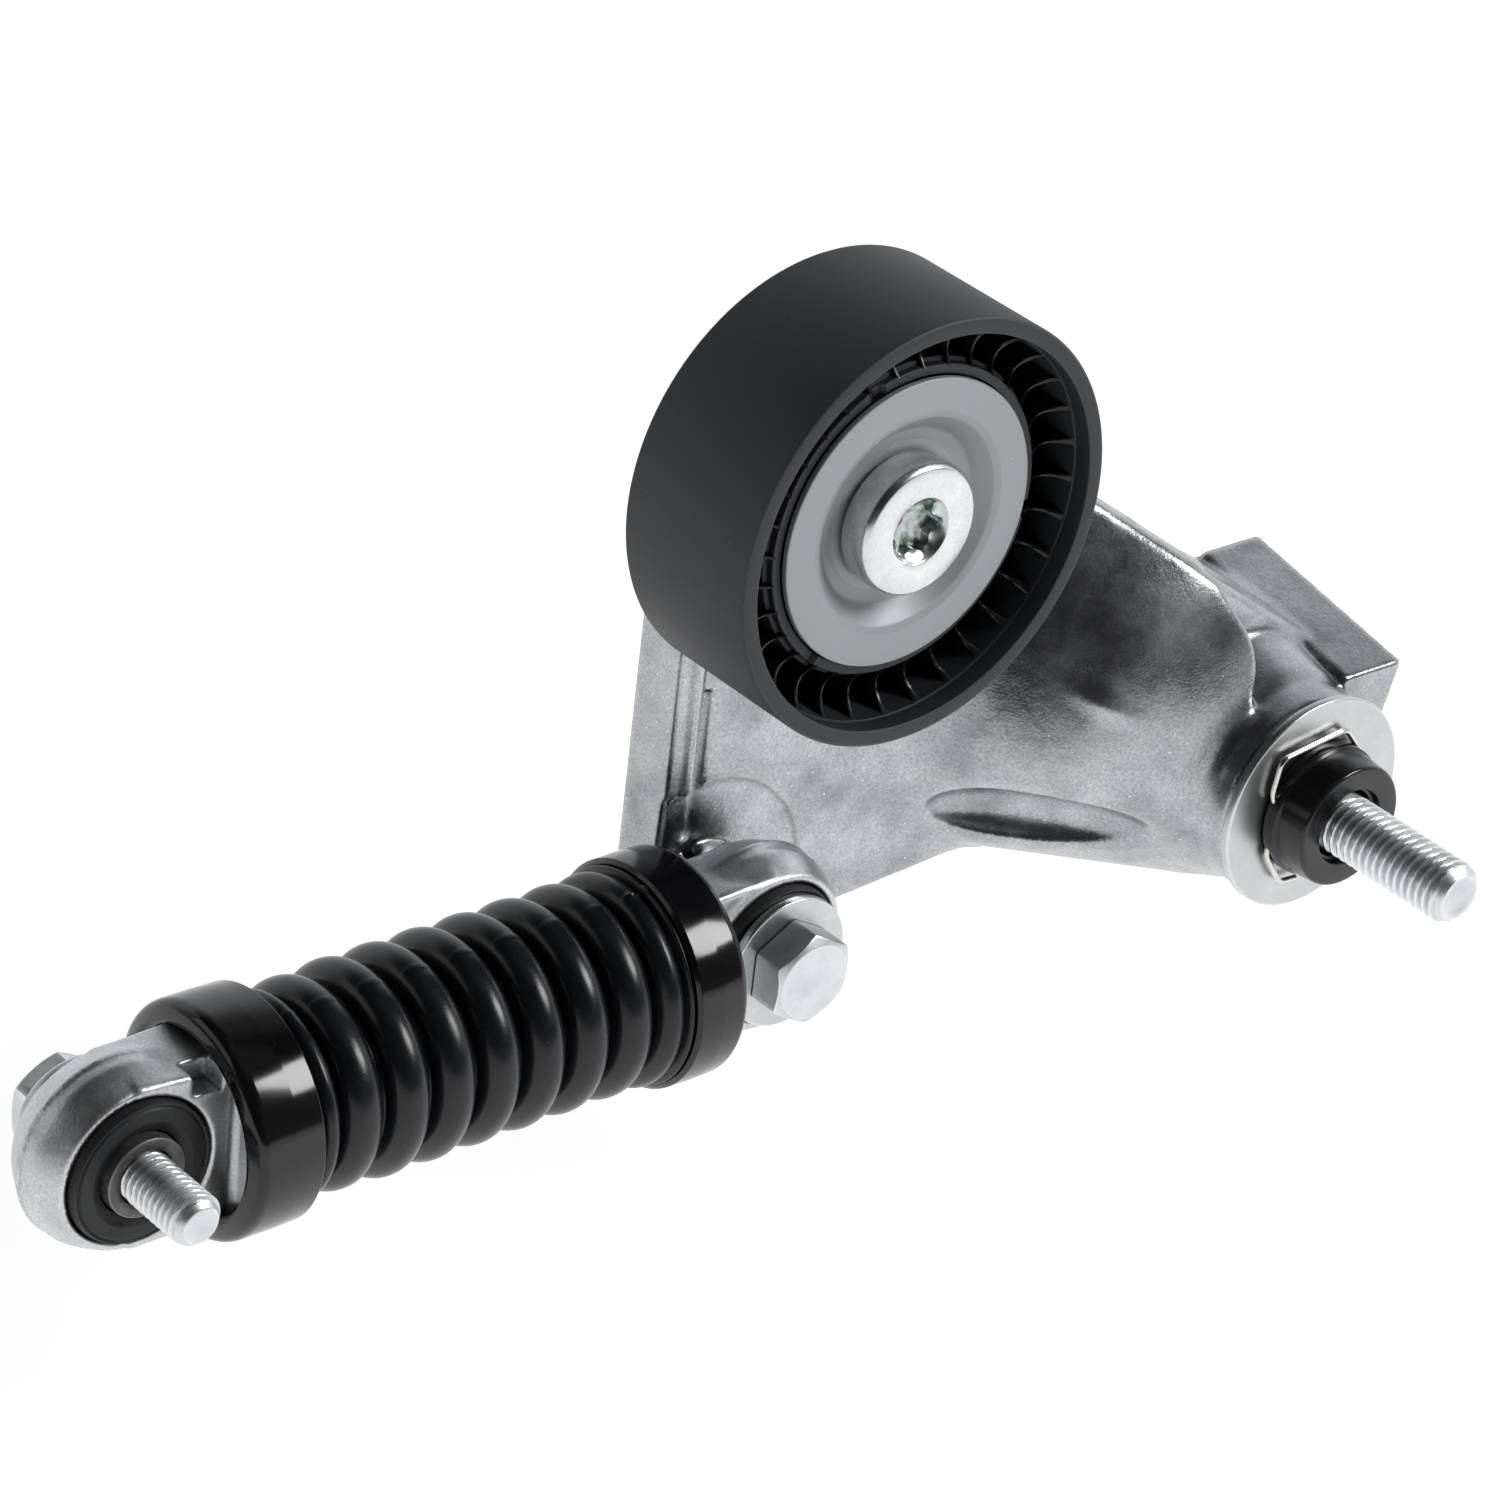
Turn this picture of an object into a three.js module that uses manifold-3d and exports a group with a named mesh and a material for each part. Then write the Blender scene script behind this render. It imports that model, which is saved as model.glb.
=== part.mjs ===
// Belt tensioner idler: an aluminium arm that swings on a pivot bolt and carries a ball-bearing
// idler pulley, pushed by a hydraulic strut under a rubber bellows. Millimetres, +Z up.
// The origin is on the pivot axis, in the front face of the thrust washer. All bolts lie along Y,
// with the engine on the -Y side. The strut lies along X.
import * as THREE from 'three';
import { mergeVertices } from 'three/addons/utils/BufferGeometryUtils.js';
import Module from 'manifold-3d';

const wasm = await Module();
wasm.setup();

// ---------- driving dimensions ----------
const SEGMENTS = 26;              // facets round a turned piece
const GAP = 0.3;                  // clearance between neighbouring pieces
const GAP_RUN = 0.4;              // clearance between pieces that turn on each other

const PULLEY = { x: -85.1, z: 65.4, front: 3.5, width: 26, radius: 32.5 };
const BEARING = { bore: 8.5, radius: 20, width: 12, front: 11.6, balls: 8, ballRadius: 3.4 };
const STRUT = { y: 21.5, z: -6.4, upperX: -92.7, lowerX: -202.7 };
const EYE = { radius: 15, faceRadius: 12.8, halfWidth: 6, bore: 11.2 };
const BUSH = { halfWidth: 7.4, sleeveHalf: 8.2, sleeveRadius: 6.1 };
const PIVOT = { hubRadius: 16.8, hubFront: 1.8, hubBack: 44, bore: 10.6, washerRadius: 17.6,
  studTip: -31.5, sleeveBack: 45.2 };
const PLATE = { front: 33.2, back: 43.2, left: -100.8, bottom: -17.5 };
const BOSS = { pulleyFace: 27.6, strutFace: 30.1 };
const M10 = 4.95;                 // radius of an M10 thread
const M8 = 3.95;                  // radius of an M8 thread
const BELLOWS = { crest: 16.1, valley: 12.9, wall: 1, pitch: 7.75, turns: 7, firstX: -125.9 };
const COLLAR = { radius: 17.2, bore: 13.4, upper: [-115.4, -106.4], lower: [-191, -179.6] };
const SPRING = { radius: 10.7, wire: 1.25, turns: 7, from: -115.4, to: -180.4 };

const BEARING_MID = (BEARING.bore + BEARING.radius) / 2;
const BEARING_BACK = BEARING.front + BEARING.width;
const TURN = Math.PI * 2;

// ---------- finishes ----------
const finish = (color, roughness, metalness) => ({ color, roughness, metalness });
const CAST = finish(0xa9abad, 0.5, 0.9);
const ZINC = finish(0xd3d8da, 0.3, 1.0);
const STEEL = finish(0x9a9ea2, 0.35, 1.0);
const CAP_GREY = finish(0x9fa3a6, 0.45, 0.7);
const PLASTIC = finish(0x26272a, 0.6, 0.0);
const RUBBER = finish(0x17181a, 0.55, 0.0);
const GLOSS = finish(0x0c0d0f, 0.15, 0.0);
const BRONZE = finish(0xb08d57, 0.45, 0.8);

// ---------- geometry helpers ----------

/** One closed, outward-facing geometry: merged by position, without degenerate triangles. */
function closed(geometry) {
  const bare = geometry.clone();
  for (const name of Object.keys(bare.attributes)) {
    if (name !== 'position') bare.deleteAttribute(name);
  }
  const merged = mergeVertices(bare, 1e-4);
  const index = [];
  const old = merged.index.array;
  for (let i = 0; i < old.length; i += 3) {
    const [a, b, c] = [old[i], old[i + 1], old[i + 2]];
    if (a !== b && b !== c && a !== c) index.push(a, b, c);
  }
  if (signedVolume(merged.attributes.position, index) < 0) index.reverse();
  merged.setIndex(index);
  return merged;
}

/** Six times the volume that a triangle list encloses, negative when it is inside out. */
function signedVolume(position, index) {
  const [a, b, c] = [new THREE.Vector3(), new THREE.Vector3(), new THREE.Vector3()];
  let sum = 0;
  for (let i = 0; i < index.length; i += 3) {
    a.fromBufferAttribute(position, index[i]);
    b.fromBufferAttribute(position, index[i + 1]);
    c.fromBufferAttribute(position, index[i + 2]);
    sum += a.dot(b.cross(c));
  }
  return sum;
}

/** A three.js geometry as a solid for joining and cutting. */
function solid(geometry) {
  const shape = closed(geometry);
  return new wasm.Manifold(new wasm.Mesh({
    numProp: 3,
    vertProperties: new Float32Array(shape.attributes.position.array),
    triVerts: new Uint32Array(shape.index.array),
  }));
}

/** A solid back as a three.js geometry. */
function geometryOf(body) {
  const mesh = body.getMesh();
  const geometry = new THREE.BufferGeometry();
  geometry.setAttribute('position', new THREE.BufferAttribute(mesh.vertProperties, 3));
  geometry.setIndex(new THREE.BufferAttribute(mesh.triVerts, 1));
  return geometry;
}

const join = (first, ...rest) => rest.reduce((sum, next) => sum.add(next), first);
const cut = (first, ...rest) => rest.reduce((sum, next) => sum.subtract(next), first);

/** A solid turned about the Y direction through (x, z), from a profile of [radius, y] points. */
function turnedY(profile, x = 0, z = 0, segments = SEGMENTS) {
  const points = profile.map(([r, y]) => new THREE.Vector2(r, y));
  return new THREE.LatheGeometry(points, segments).translate(x, 0, z);
}

/** A solid turned about the strut's axis, from a profile of [radius, x] points. */
function turnedX(profile, segments = SEGMENTS) {
  const points = profile.map(([r, x]) => new THREE.Vector2(r, x));
  return new THREE.LatheGeometry(points, segments).rotateZ(-Math.PI / 2)
    .translate(0, STRUT.y, STRUT.z);
}

/** The closed profile of a ring, from an inner to an outer radius. */
const ringProfile = (inner, outer, from, to) => [
  [inner, from], [outer, from], [outer, to], [inner, to], [inner, from],
];

/** The profile of a rod, which starts and ends on the axis. */
const rodProfile = (radius, from, to) => [[0, from], [radius, from], [radius, to], [0, to]];

/** The profile of a rod whose tip, at `from`, is chamfered. */
const studProfile = (radius, from, to, chamfer = 1.2) => [
  [0, from], [radius - chamfer, from], [radius, from + chamfer], [radius, to], [0, to],
];

const ringY = (inner, outer, from, to, x, z) => turnedY(ringProfile(inner, outer, from, to), x, z);
const rodY = (radius, from, to, x, z) => turnedY(rodProfile(radius, from, to), x, z);
const ringX = (inner, outer, from, to) => turnedX(ringProfile(inner, outer, from, to));
const rodX = (radius, from, to) => turnedX(rodProfile(radius, from, to));

/** An outline of [x, z] points, extruded along Y. */
function slabY(outline, from, to) {
  const shape = new THREE.Shape(outline.map(([x, z]) => new THREE.Vector2(x, z)));
  return new THREE.ExtrudeGeometry(shape, { depth: to - from, bevelEnabled: false })
    .rotateX(Math.PI / 2).translate(0, to, 0);
}

/** An outline of [x, y] points, extruded along Z. */
function slabZ(outline, from, to) {
  const shape = new THREE.Shape(outline.map(([x, y]) => new THREE.Vector2(x, y)));
  return new THREE.ExtrudeGeometry(shape, { depth: to - from, bevelEnabled: false })
    .translate(0, 0, from);
}

/** Points on an arc about (x, z), with angles in degrees. */
function arc(x, z, radius, startDeg, endDeg, steps) {
  return Array.from({ length: steps + 1 }, (_, i) => {
    const angle = THREE.MathUtils.degToRad(startDeg + ((endDeg - startDeg) * i) / steps);
    return [x + radius * Math.cos(angle), z + radius * Math.sin(angle)];
  });
}

/** A hexagonal prism along Y, with a given width across flats. */
function hexY(acrossFlats, from, to, x, z) {
  const outline = arc(x, z, acrossFlats / Math.sqrt(3), 20, 320, 5);
  return slabY(outline, from, to);
}

// ---------- the assembly ----------
const tensioner = new THREE.Group();

/** Adds one named piece to the assembly. */
function piece(name, geometry, look) {
  const shape = closed(geometry);
  shape.computeVertexNormals();
  const mesh = new THREE.Mesh(shape, new THREE.MeshStandardMaterial(look));
  mesh.name = name;
  tensioner.add(mesh);
}

// ---------- pivot: what the engine holds ----------

function addPivot() {
  const washerFace = PIVOT.sleeveBack + GAP;
  const headFace = washerFace + 1.5 + GAP;
  const shank = turnedY(studProfile(M10, PIVOT.studTip, headFace + 1));
  const flange = turnedY(rodProfile(10.4, headFace, headFace + 1.8));
  const head = hexY(15, headFace + 1.5, headFace + 8, 0, 0);
  piece('pivot_bolt', geometryOf(join(solid(shank), solid(head), solid(flange))), ZINC);
  piece('pivot_inner_sleeve', ringY(M10 + GAP, 7.6, 0, PIVOT.sleeveBack, 0, 0), STEEL);
  piece('pivot_thrust_washer', ringY(7.6 + GAP, PIVOT.washerRadius, 0, 1.4, 0, 0), ZINC);
  piece('pivot_rear_washer', ringY(M10 + GAP, 15.5, washerFace, washerFace + 1.5, 0, 0), ZINC);
  piece('bolt_retaining_sleeve', turnedY([
    [M10 + 0.7, -0.3], [10, -0.3], [10, -7.4], [9.2, -8.2], [6.4, -8.2], [M10 + 0.7, -7.5],
    [M10 + 0.7, -0.3],
  ]), PLASTIC);
  addRetainingClip();
}

/** A round spring wire bent to a hexagon with one open corner, hooked round the sleeve's foot. */
function addRetainingClip() {
  const wire = 0.55;
  const corners = arc(0, 0, 13.2, 60, 350, 5);
  const path = new THREE.CurvePath();
  for (let i = 1; i < corners.length; i += 1) {
    const [from, to] = [corners[i - 1], corners[i]];
    path.add(new THREE.LineCurve3(
      new THREE.Vector3(from[0], -1.1, from[1]), new THREE.Vector3(to[0], -1.1, to[1]),
    ));
  }
  const points = path.getSpacedPoints(30);
  const smooth = new THREE.CatmullRomCurve3(points);
  const section = new THREE.Shape(arc(0, 0, wire, 0, 300, 5).map(([u, v]) => new THREE.Vector2(u, v)));
  piece('retaining_clip', new THREE.ExtrudeGeometry(section, {
    steps: 36, bevelEnabled: false, extrudePath: smooth,
  }), ZINC);
}

// ---------- arm ----------

/** The arm's outline: square to the strut on the left, and round the pulley boss and the hub. */
function armOutline() {
  return [
    [PLATE.left, PLATE.bottom - 1],
    [-38, PLATE.bottom + 3.5],
    [-14, -19.5],
    ...arc(0, 0, 19.5, -110, 54, 10),
    ...arc(PULLEY.x, PULLEY.z, 17.4, 54, 155, 6),
    [PLATE.left, 60],
  ];
}

function addArm() {
  const outline = armOutline();
  const plate = solid(slabY(outline, PLATE.front, PLATE.back));
  // the web rises from the plate to the hub's front
  const rise = solid(slabZ([[-58, 34], [-44, 32], [-16, 13], [-6, 8], [4, 8], [4, 43], [-58, 43]], -40, 60));
  const web = solid(slabY(outline, 5, PLATE.back)).intersect(rise);
  const hub = solid(rodY(PIVOT.hubRadius, PIVOT.hubFront, PIVOT.hubBack, 0, 0));
  const pulleyBoss = solid(rodY(12, BOSS.pulleyFace, PLATE.front + 1, PULLEY.x, PULLEY.z));
  const strutBoss = solid(rodY(8.5, BOSS.strutFace, PLATE.front + 1, STRUT.upperX, STRUT.z));
  const bead = solid(slabY([[-99.4, 0], [-96.6, 0], [-96.6, 32], [-99.4, 32]], PLATE.front - 1.2,
    PLATE.front + 1));
  const lug = solid(new THREE.BoxGeometry(12, 33, 14).rotateX(THREE.MathUtils.degToRad(10.5))
    .translate(18.5, 26.5, 9.3));
  const body = join(plate, web, hub, pulleyBoss, strutBoss, bead, lug);

  const bore = solid(rodY(PIVOT.bore, -5, 60, 0, 0));
  const pulleyThread = solid(rodY(M10 + GAP, 20, 60, PULLEY.x, PULLEY.z));
  const strutThread = solid(rodY(M10 + GAP, 20, 60, STRUT.upperX, STRUT.z));
  piece('tensioner_arm', geometryOf(
    cut(body, bore, pulleyThread, strutThread, ...backPockets(), lowerPocket()),
  ), CAST);
}

/** The pockets in the casting's back, which leave a rim, ribs and the bosses. */
function backPockets() {
  const floor = 37.4;
  const bosses = [
    solid(rodY(9.5, 20, 60, PULLEY.x, PULLEY.z)),
    solid(rodY(9.5, 20, 60, STRUT.upperX, STRUT.z)),
    solid(rodY(PIVOT.hubRadius, 0, 60, 0, 0)),
  ];
  const pockets = [
    [[-97.6, 4], [-97.6, 48], [-86, 52], [-60, 36], [-62, 8]],
    [[-80, -14.5], [-56, -11.5], [-59, 5], [-80, 4]],
    [[-57, 34], [-52, -10.5], [-41, -11], [-18, -14.5], [-10, 18]],
  ];
  return pockets.map((outline) => cut(solid(slabY(outline, floor, 60)), ...bosses));
}

/** The hollow between the web and the rib along its lower edge. */
function lowerPocket() {
  return solid(new THREE.CylinderGeometry(2.4, 5.2, 44, 3).rotateZ(THREE.MathUtils.degToRad(80))
    .rotateY(THREE.MathUtils.degToRad(-28)).translate(-34, 22, -6));
}

function addArmFittings() {
  const bush = (from, to, flangeFrom, flangeTo) => geometryOf(join(
    solid(ringY(7.6 + GAP_RUN, PIVOT.bore - GAP, from, to, 0, 0)),
    solid(ringY(7.6 + GAP_RUN, 14.6, flangeFrom, flangeTo, 0, 0)),
  ));
  piece('pivot_bush_front', ringY(7.6 + GAP_RUN, PIVOT.bore - GAP, 2, 20, 0, 0), BRONZE);
  piece('pivot_bush_rear', bush(25, 44.4, 44.1, 44.75), BRONZE);
}

// ---------- pulley and its bearing ----------

function addPulley() {
  const { x, z, front, width, radius } = PULLEY;
  const back = front + width;
  const web = front + width / 2;
  piece('pulley', turnedY([
    [radius - 0.6, front], [radius, front + 0.6], [radius, back - 0.6], [radius - 0.6, back],
    [29.8, back], [29.4, web + 2], [24.4, web + 2], [24.2, back - 4],
    [20.3, back - 4], [20.3, front + 6.2], [22.6, front + 4.4], [24.2, front + 4.4],
    [24.4, web - 2], [29.4, web - 2], [29.8, front], [radius - 0.6, front],
  ], x, z, 40), PLASTIC);
}

function addBearing() {
  const { x, z } = PULLEY;
  const { bore, radius, front, balls, ballRadius } = BEARING;
  const groove = (inner, outer, way) => {
    const mid = front + BEARING.width / 2;
    const reach = ballRadius + 0.15;
    const race = Array.from({ length: 7 }, (_, i) => {
      const angle = THREE.MathUtils.degToRad(-48 + 16 * i);
      return [BEARING_MID + way * reach * Math.cos(angle), mid + reach * Math.sin(angle)];
    });
    const [nearRace, far] = way > 0 ? [inner, outer] : [outer, inner];
    return [[far, front], [nearRace, front], ...race, [nearRace, BEARING_BACK],
      [far, BEARING_BACK], [far, front]];
  };
  piece('bearing_outer_ring', turnedY(groove(16.7, radius, 1), x, z), STEEL);
  piece('bearing_inner_ring', turnedY(groove(bore, 11.8, -1), x, z), STEEL);
  const seal = (from) => ringY(11.8 + GAP_RUN, 16.7 - GAP, from, from + 0.8, x, z);
  piece('bearing_seal_front', seal(front + 0.4), RUBBER);
  piece('bearing_seal_rear', seal(BEARING_BACK - 1.2), RUBBER);

  const mid = front + BEARING.width / 2;
  const ballCentres = Array.from({ length: balls }, (_, i) => {
    const angle = (TURN * i) / balls;
    return [x + BEARING_MID * Math.cos(angle), mid, z + BEARING_MID * Math.sin(angle)];
  });
  // each cage pocket is a radial hole, a little wider than its ball
  const pockets = ballCentres.map((centre, i) => solid(
    new THREE.CylinderGeometry(ballRadius + 0.35, ballRadius + 0.35, 8, 12).rotateZ(-Math.PI / 2)
      .rotateY(-(TURN * i) / balls).translate(...centre),
  ));
  const cage = solid(ringY(13.6, 15, mid - 4.4, mid + 4.4, x, z));
  piece('bearing_cage', geometryOf(cut(cage, ...pockets)), STEEL);
  ballCentres.forEach((centre, i) => piece(
    `bearing_ball_${i + 1}`, new THREE.SphereGeometry(ballRadius, 10, 7).translate(...centre), STEEL,
  ));
}

function addPulleyFittings() {
  const { x, z } = PULLEY;
  const head = cut(
    solid(turnedY([[0, 4.7], [9.6, 4.7], [10.2, 5.3], [10.2, 10], [0, 10]], x, z)),
    solid(slabY(sixLobe(x, z, 4.4, 0.55), 4, 8)),
  );
  piece('pulley_bolt', geometryOf(join(head, solid(rodY(M10, 9, 41, x, z)))), ZINC);
  piece('dust_cap', turnedY([
    [M10 + GAP, 10.3], [11.6, 10.3], [13.4, 9.9], [15.8, 8], [17.4, 7.4], [21.9, 7.4], [21.9, 8.4],
    [17.6, 8.4], [16.2, 9], [14, 10.9], [11.8, 11.3], [M10 + GAP, 11.3], [M10 + GAP, 10.3],
  ], x, z), CAP_GREY);
  piece('pulley_hub_sleeve', turnedY([
    [M10 + GAP, 11.6], [BEARING.bore - GAP, 11.6], [BEARING.bore - GAP, BEARING_BACK + GAP],
    [11.4, BEARING_BACK + GAP], [11.4, BOSS.pulleyFace - GAP], [M10 + GAP, BOSS.pulleyFace - GAP],
    [M10 + GAP, 11.6],
  ], x, z), STEEL);
  piece('rear_dust_shield', ringY(11.4 + GAP, 19.6, BEARING_BACK + 0.5, BEARING_BACK + 1.5, x, z),
    CAP_GREY);
}

/** A six-lobed socket outline about (x, z): a circle whose radius waves six times a turn. */
function sixLobe(x, z, radius, depth) {
  return Array.from({ length: 36 }, (_, i) => {
    const angle = (TURN * i) / 36;
    const r = radius - depth * (1 - Math.cos(6 * angle));
    return [x + r * Math.cos(angle), z + r * Math.sin(angle)];
  });
}

// ---------- strut ----------

/** The turned ring of an eye, fattest on its middle plane. */
function eyeRing(x) {
  const { radius, faceRadius, halfWidth } = EYE;
  const [front, back] = [STRUT.y - halfWidth, STRUT.y + halfWidth];
  return solid(turnedY([
    [0, front], [faceRadius, front], [radius, front + 3.4], [radius, back - 3.4],
    [faceRadius, back], [0, back],
  ], x, STRUT.z));
}

function addUpperEye() {
  const { upperX, y, z } = STRUT;
  const neck = solid(new THREE.BoxGeometry(13, 11.6, 24).translate(upperX - 6.8, y, z));
  const flange = solid(rodX(12.9, -113.2, -105.4));
  const bore = solid(rodY(EYE.bore, y - 20, y + 20, upperX, z));
  const rodSocket = solid(rodX(5.3, -120, -107.6));
  piece('upper_eye', geometryOf(cut(join(eyeRing(upperX), neck, flange), bore, rodSocket)), CAST);
}

function addLowerEye() {
  const { lowerX, y, z } = STRUT;
  const neck = solid(new THREE.BoxGeometry(10, 13, 25).translate(lowerX + 6, y, z));
  const flange = solid(rodX(12.9, -192, -182.6));
  const bore = solid(rodY(EYE.bore, y - 20, y + 20, lowerX, z));
  const notch = solid(new THREE.BoxGeometry(5, 5, 5).translate(lowerX + 11.2, y - 6.6, z + 9));
  const cylinderSeat = solid(rodX(8.3, -187.2, -170));
  piece('lower_eye', geometryOf(
    cut(join(eyeRing(lowerX), neck, flange), bore, notch, cylinderSeat),
  ), CAST);
}

/** The rubber and the steel sleeve inside an eye. */
function addBush(name, x, shank) {
  const { y, z } = STRUT;
  const [inner, outer] = [BUSH.sleeveRadius + GAP, EYE.bore - GAP];
  const [front, back] = [y - BUSH.halfWidth, y + BUSH.halfWidth];
  piece(`${name}_bush_rubber`, turnedY([
    [inner, front + 0.8], [inner + 1.2, front], [outer - 1.2, front], [outer, front + 1.2],
    [outer, back - 1.2], [outer - 1.2, back], [inner + 1.2, back], [inner, back - 0.8],
    [inner, front + 0.8],
  ], x, z), RUBBER);
  piece(`${name}_bush_sleeve`,
    ringY(shank + GAP, BUSH.sleeveRadius, y - BUSH.sleeveHalf, y + BUSH.sleeveHalf, x, z), STEEL);
}

function addUpperBolt() {
  const { upperX: x, z } = STRUT;
  const face = STRUT.y - BUSH.sleeveHalf - GAP;
  const bolt = join(
    solid(hexY(15, face - 8.6, face - 2, x, z)),
    solid(rodY(8.8, face - 3, face - 1.7, x, z)),
    solid(rodY(M10, face - 4, 41, x, z)),
  );
  piece('upper_bolt', geometryOf(bolt), ZINC);
  piece('upper_bolt_washer', ringY(M10 + GAP, 10.4, face - 1.4, face, x, z), ZINC);
}

function addLowerBolt() {
  const { lowerX: x, z } = STRUT;
  const face = STRUT.y + BUSH.sleeveHalf + GAP;
  const bolt = join(
    solid(turnedY(studProfile(M8, 0.5, face + 3, 1), x, z)),
    solid(rodY(8, face + 1.8, face + 3.2, x, z)),
    solid(hexY(13, face + 3, face + 8.6, x, z)),
  );
  piece('lower_bolt', geometryOf(bolt), ZINC);
  piece('lower_bolt_washer', ringY(M8 + GAP, 9.4, face, face + 1.5, x, z), ZINC);
}

/** The rubber bellows: a thin wall whose outline rises and falls once in each convolution. */
function addBellows() {
  const { crest, valley, wall, pitch, turns, firstX } = BELLOWS;
  const outer = [[13.2, COLLAR.upper[0] + 0.8], [13.4, -119.6], [15.6, -121.2]];
  for (let i = 0; i < turns; i += 1) {
    const x = firstX - pitch * i;
    outer.push([valley, x + 2.2], [crest, x - 0.3]);
  }
  const lastX = firstX - pitch * (turns - 1);
  outer.push([valley, lastX - 3.4], [13.2, COLLAR.lower[1] - 0.8]);
  const inner = outer.map(([r, x]) => [r - wall, x]).reverse();
  piece('bellows', turnedX([...outer, ...inner, outer[0]], 26), RUBBER);
}

function addCollars() {
  const { radius, bore } = COLLAR;
  const roll = ([from, to]) => {
    const soft = 2.2;
    return turnedX([
      [bore, from], [radius - 0.6, from], [radius, from + 0.8], [radius, to - soft],
      [radius - soft, to], [bore, to], [bore, from],
    ]);
  };
  piece('collar_upper', roll(COLLAR.upper), GLOSS);
  const [end, seam] = COLLAR.lower;
  piece('collar_lower', turnedX([
    [bore, end], [radius - 2.2, end], [radius, end + 2.2], [radius, seam - 0.8],
    [radius - 0.6, seam], [bore, seam], [bore, end],
  ]), GLOSS);
}

function addStrutInsides() {
  piece('piston_rod', rodX(5, -152, -108), STEEL);
  piece('plunger', geometryOf(cut(solid(rodX(6.1, -162, -151)), solid(rodX(5.3, -152.4, -140)))), STEEL);
  piece('pressure_cylinder', turnedX([
    [0, -187], [8, -187], [8, -131], [6.5, -131], [6.5, -183], [0, -183],
  ]), STEEL);
  piece('check_valve', rodX(6.1, -182.7, -176), STEEL);
  piece('rod_seal', ringX(5.4, 6.2, -136.5, -131.5), RUBBER);
  piece('rod_guide', ringX(5.4, 8, -130.7, -127), STEEL);
  addSpring();
}

/** The compression spring: a round wire along a helix about the strut's axis. */
function addSpring() {
  const { radius, wire, turns, from, to } = SPRING;
  class Helix extends THREE.Curve {
    getPoint(t) {
      const angle = TURN * turns * t;
      return new THREE.Vector3(
        from + (to - from) * t, STRUT.y + radius * Math.cos(angle), STRUT.z + radius * Math.sin(angle),
      );
    }
  }
  const section = new THREE.Shape(arc(0, 0, wire, 0, 300, 5).map(([u, v]) => new THREE.Vector2(u, v)));
  piece('compression_spring', new THREE.ExtrudeGeometry(section, {
    steps: turns * 14, bevelEnabled: false, extrudePath: new Helix(),
  }), STEEL);
}

addPivot();
addArm();
addArmFittings();
addPulley();
addBearing();
addPulleyFittings();
addUpperEye();
addLowerEye();
addBush('upper', STRUT.upperX, M10);
addBush('lower', STRUT.lowerX, M8);
addUpperBolt();
addLowerBolt();
addBellows();
addCollars();
addStrutInsides();

export default tensioner;
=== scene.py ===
"""Belt tensioner idler: the visual model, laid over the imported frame.

Lengths inside the classes are millimetres in the row frame; `put_mesh` turns them into metres.
Every turned piece is a radius profile carried round an axis, every screw is a radius that depends
on angle and station, and the castings are smooth unions of distance fields meshed as surface nets.
"""
from __future__ import annotations

import logging
import math
import sys
from dataclasses import dataclass, field
from enum import Enum
from typing import Callable

import bpy
import numpy as np
from mathutils import Matrix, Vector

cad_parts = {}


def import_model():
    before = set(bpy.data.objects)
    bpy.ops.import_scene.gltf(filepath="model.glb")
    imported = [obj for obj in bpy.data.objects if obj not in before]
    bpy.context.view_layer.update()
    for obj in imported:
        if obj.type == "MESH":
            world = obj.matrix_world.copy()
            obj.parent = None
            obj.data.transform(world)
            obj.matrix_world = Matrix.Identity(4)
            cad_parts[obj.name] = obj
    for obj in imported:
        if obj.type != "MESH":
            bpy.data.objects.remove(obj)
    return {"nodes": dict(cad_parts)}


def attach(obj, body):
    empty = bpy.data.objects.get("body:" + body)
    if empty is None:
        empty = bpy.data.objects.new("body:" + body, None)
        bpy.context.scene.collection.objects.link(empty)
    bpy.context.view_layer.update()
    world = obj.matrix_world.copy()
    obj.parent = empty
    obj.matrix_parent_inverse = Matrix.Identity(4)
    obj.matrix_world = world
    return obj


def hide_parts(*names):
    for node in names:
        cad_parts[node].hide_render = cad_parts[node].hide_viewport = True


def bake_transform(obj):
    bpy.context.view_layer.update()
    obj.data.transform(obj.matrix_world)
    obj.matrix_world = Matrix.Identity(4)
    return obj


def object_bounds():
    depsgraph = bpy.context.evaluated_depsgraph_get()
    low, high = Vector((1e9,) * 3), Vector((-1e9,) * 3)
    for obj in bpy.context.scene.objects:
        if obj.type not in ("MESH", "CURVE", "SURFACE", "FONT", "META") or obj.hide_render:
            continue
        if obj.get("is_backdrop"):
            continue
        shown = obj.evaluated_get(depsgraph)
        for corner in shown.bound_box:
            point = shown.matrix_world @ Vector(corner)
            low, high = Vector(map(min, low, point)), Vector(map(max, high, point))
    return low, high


log = logging.getLogger("tensioner")

MM = 0.001
Array = np.ndarray
Colour = tuple[float, float, float]
Field = Callable[[Array, Array, Array], Array]

#: points closer than this, in millimetres, are joined
WELD = 2e-4
#: how far to each side a field's slope is measured, in millimetres
PROBE = 0.08
#: how far the floor lies under the object at rest, in metres, to clear the strut at its lowest
FLOOR_DROP = 0.07


class Axis(Enum):
    """The direction that a turned piece's stations run along."""

    ALONG_Y = "y"
    ALONG_X = "x"


class Slot(Enum):
    """The record's material slots."""

    CAST = "cast_aluminium"
    ZINC = "zinc_steel"
    BEARING = "bearing_steel"
    CAP = "cap_grey"
    PLASTIC = "black_plastic"
    RUBBER = "black_rubber"
    GLOSS = "gloss_black"
    BRONZE = "bush_bronze"


# ---------------------------------------------------------------- node groups


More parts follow.
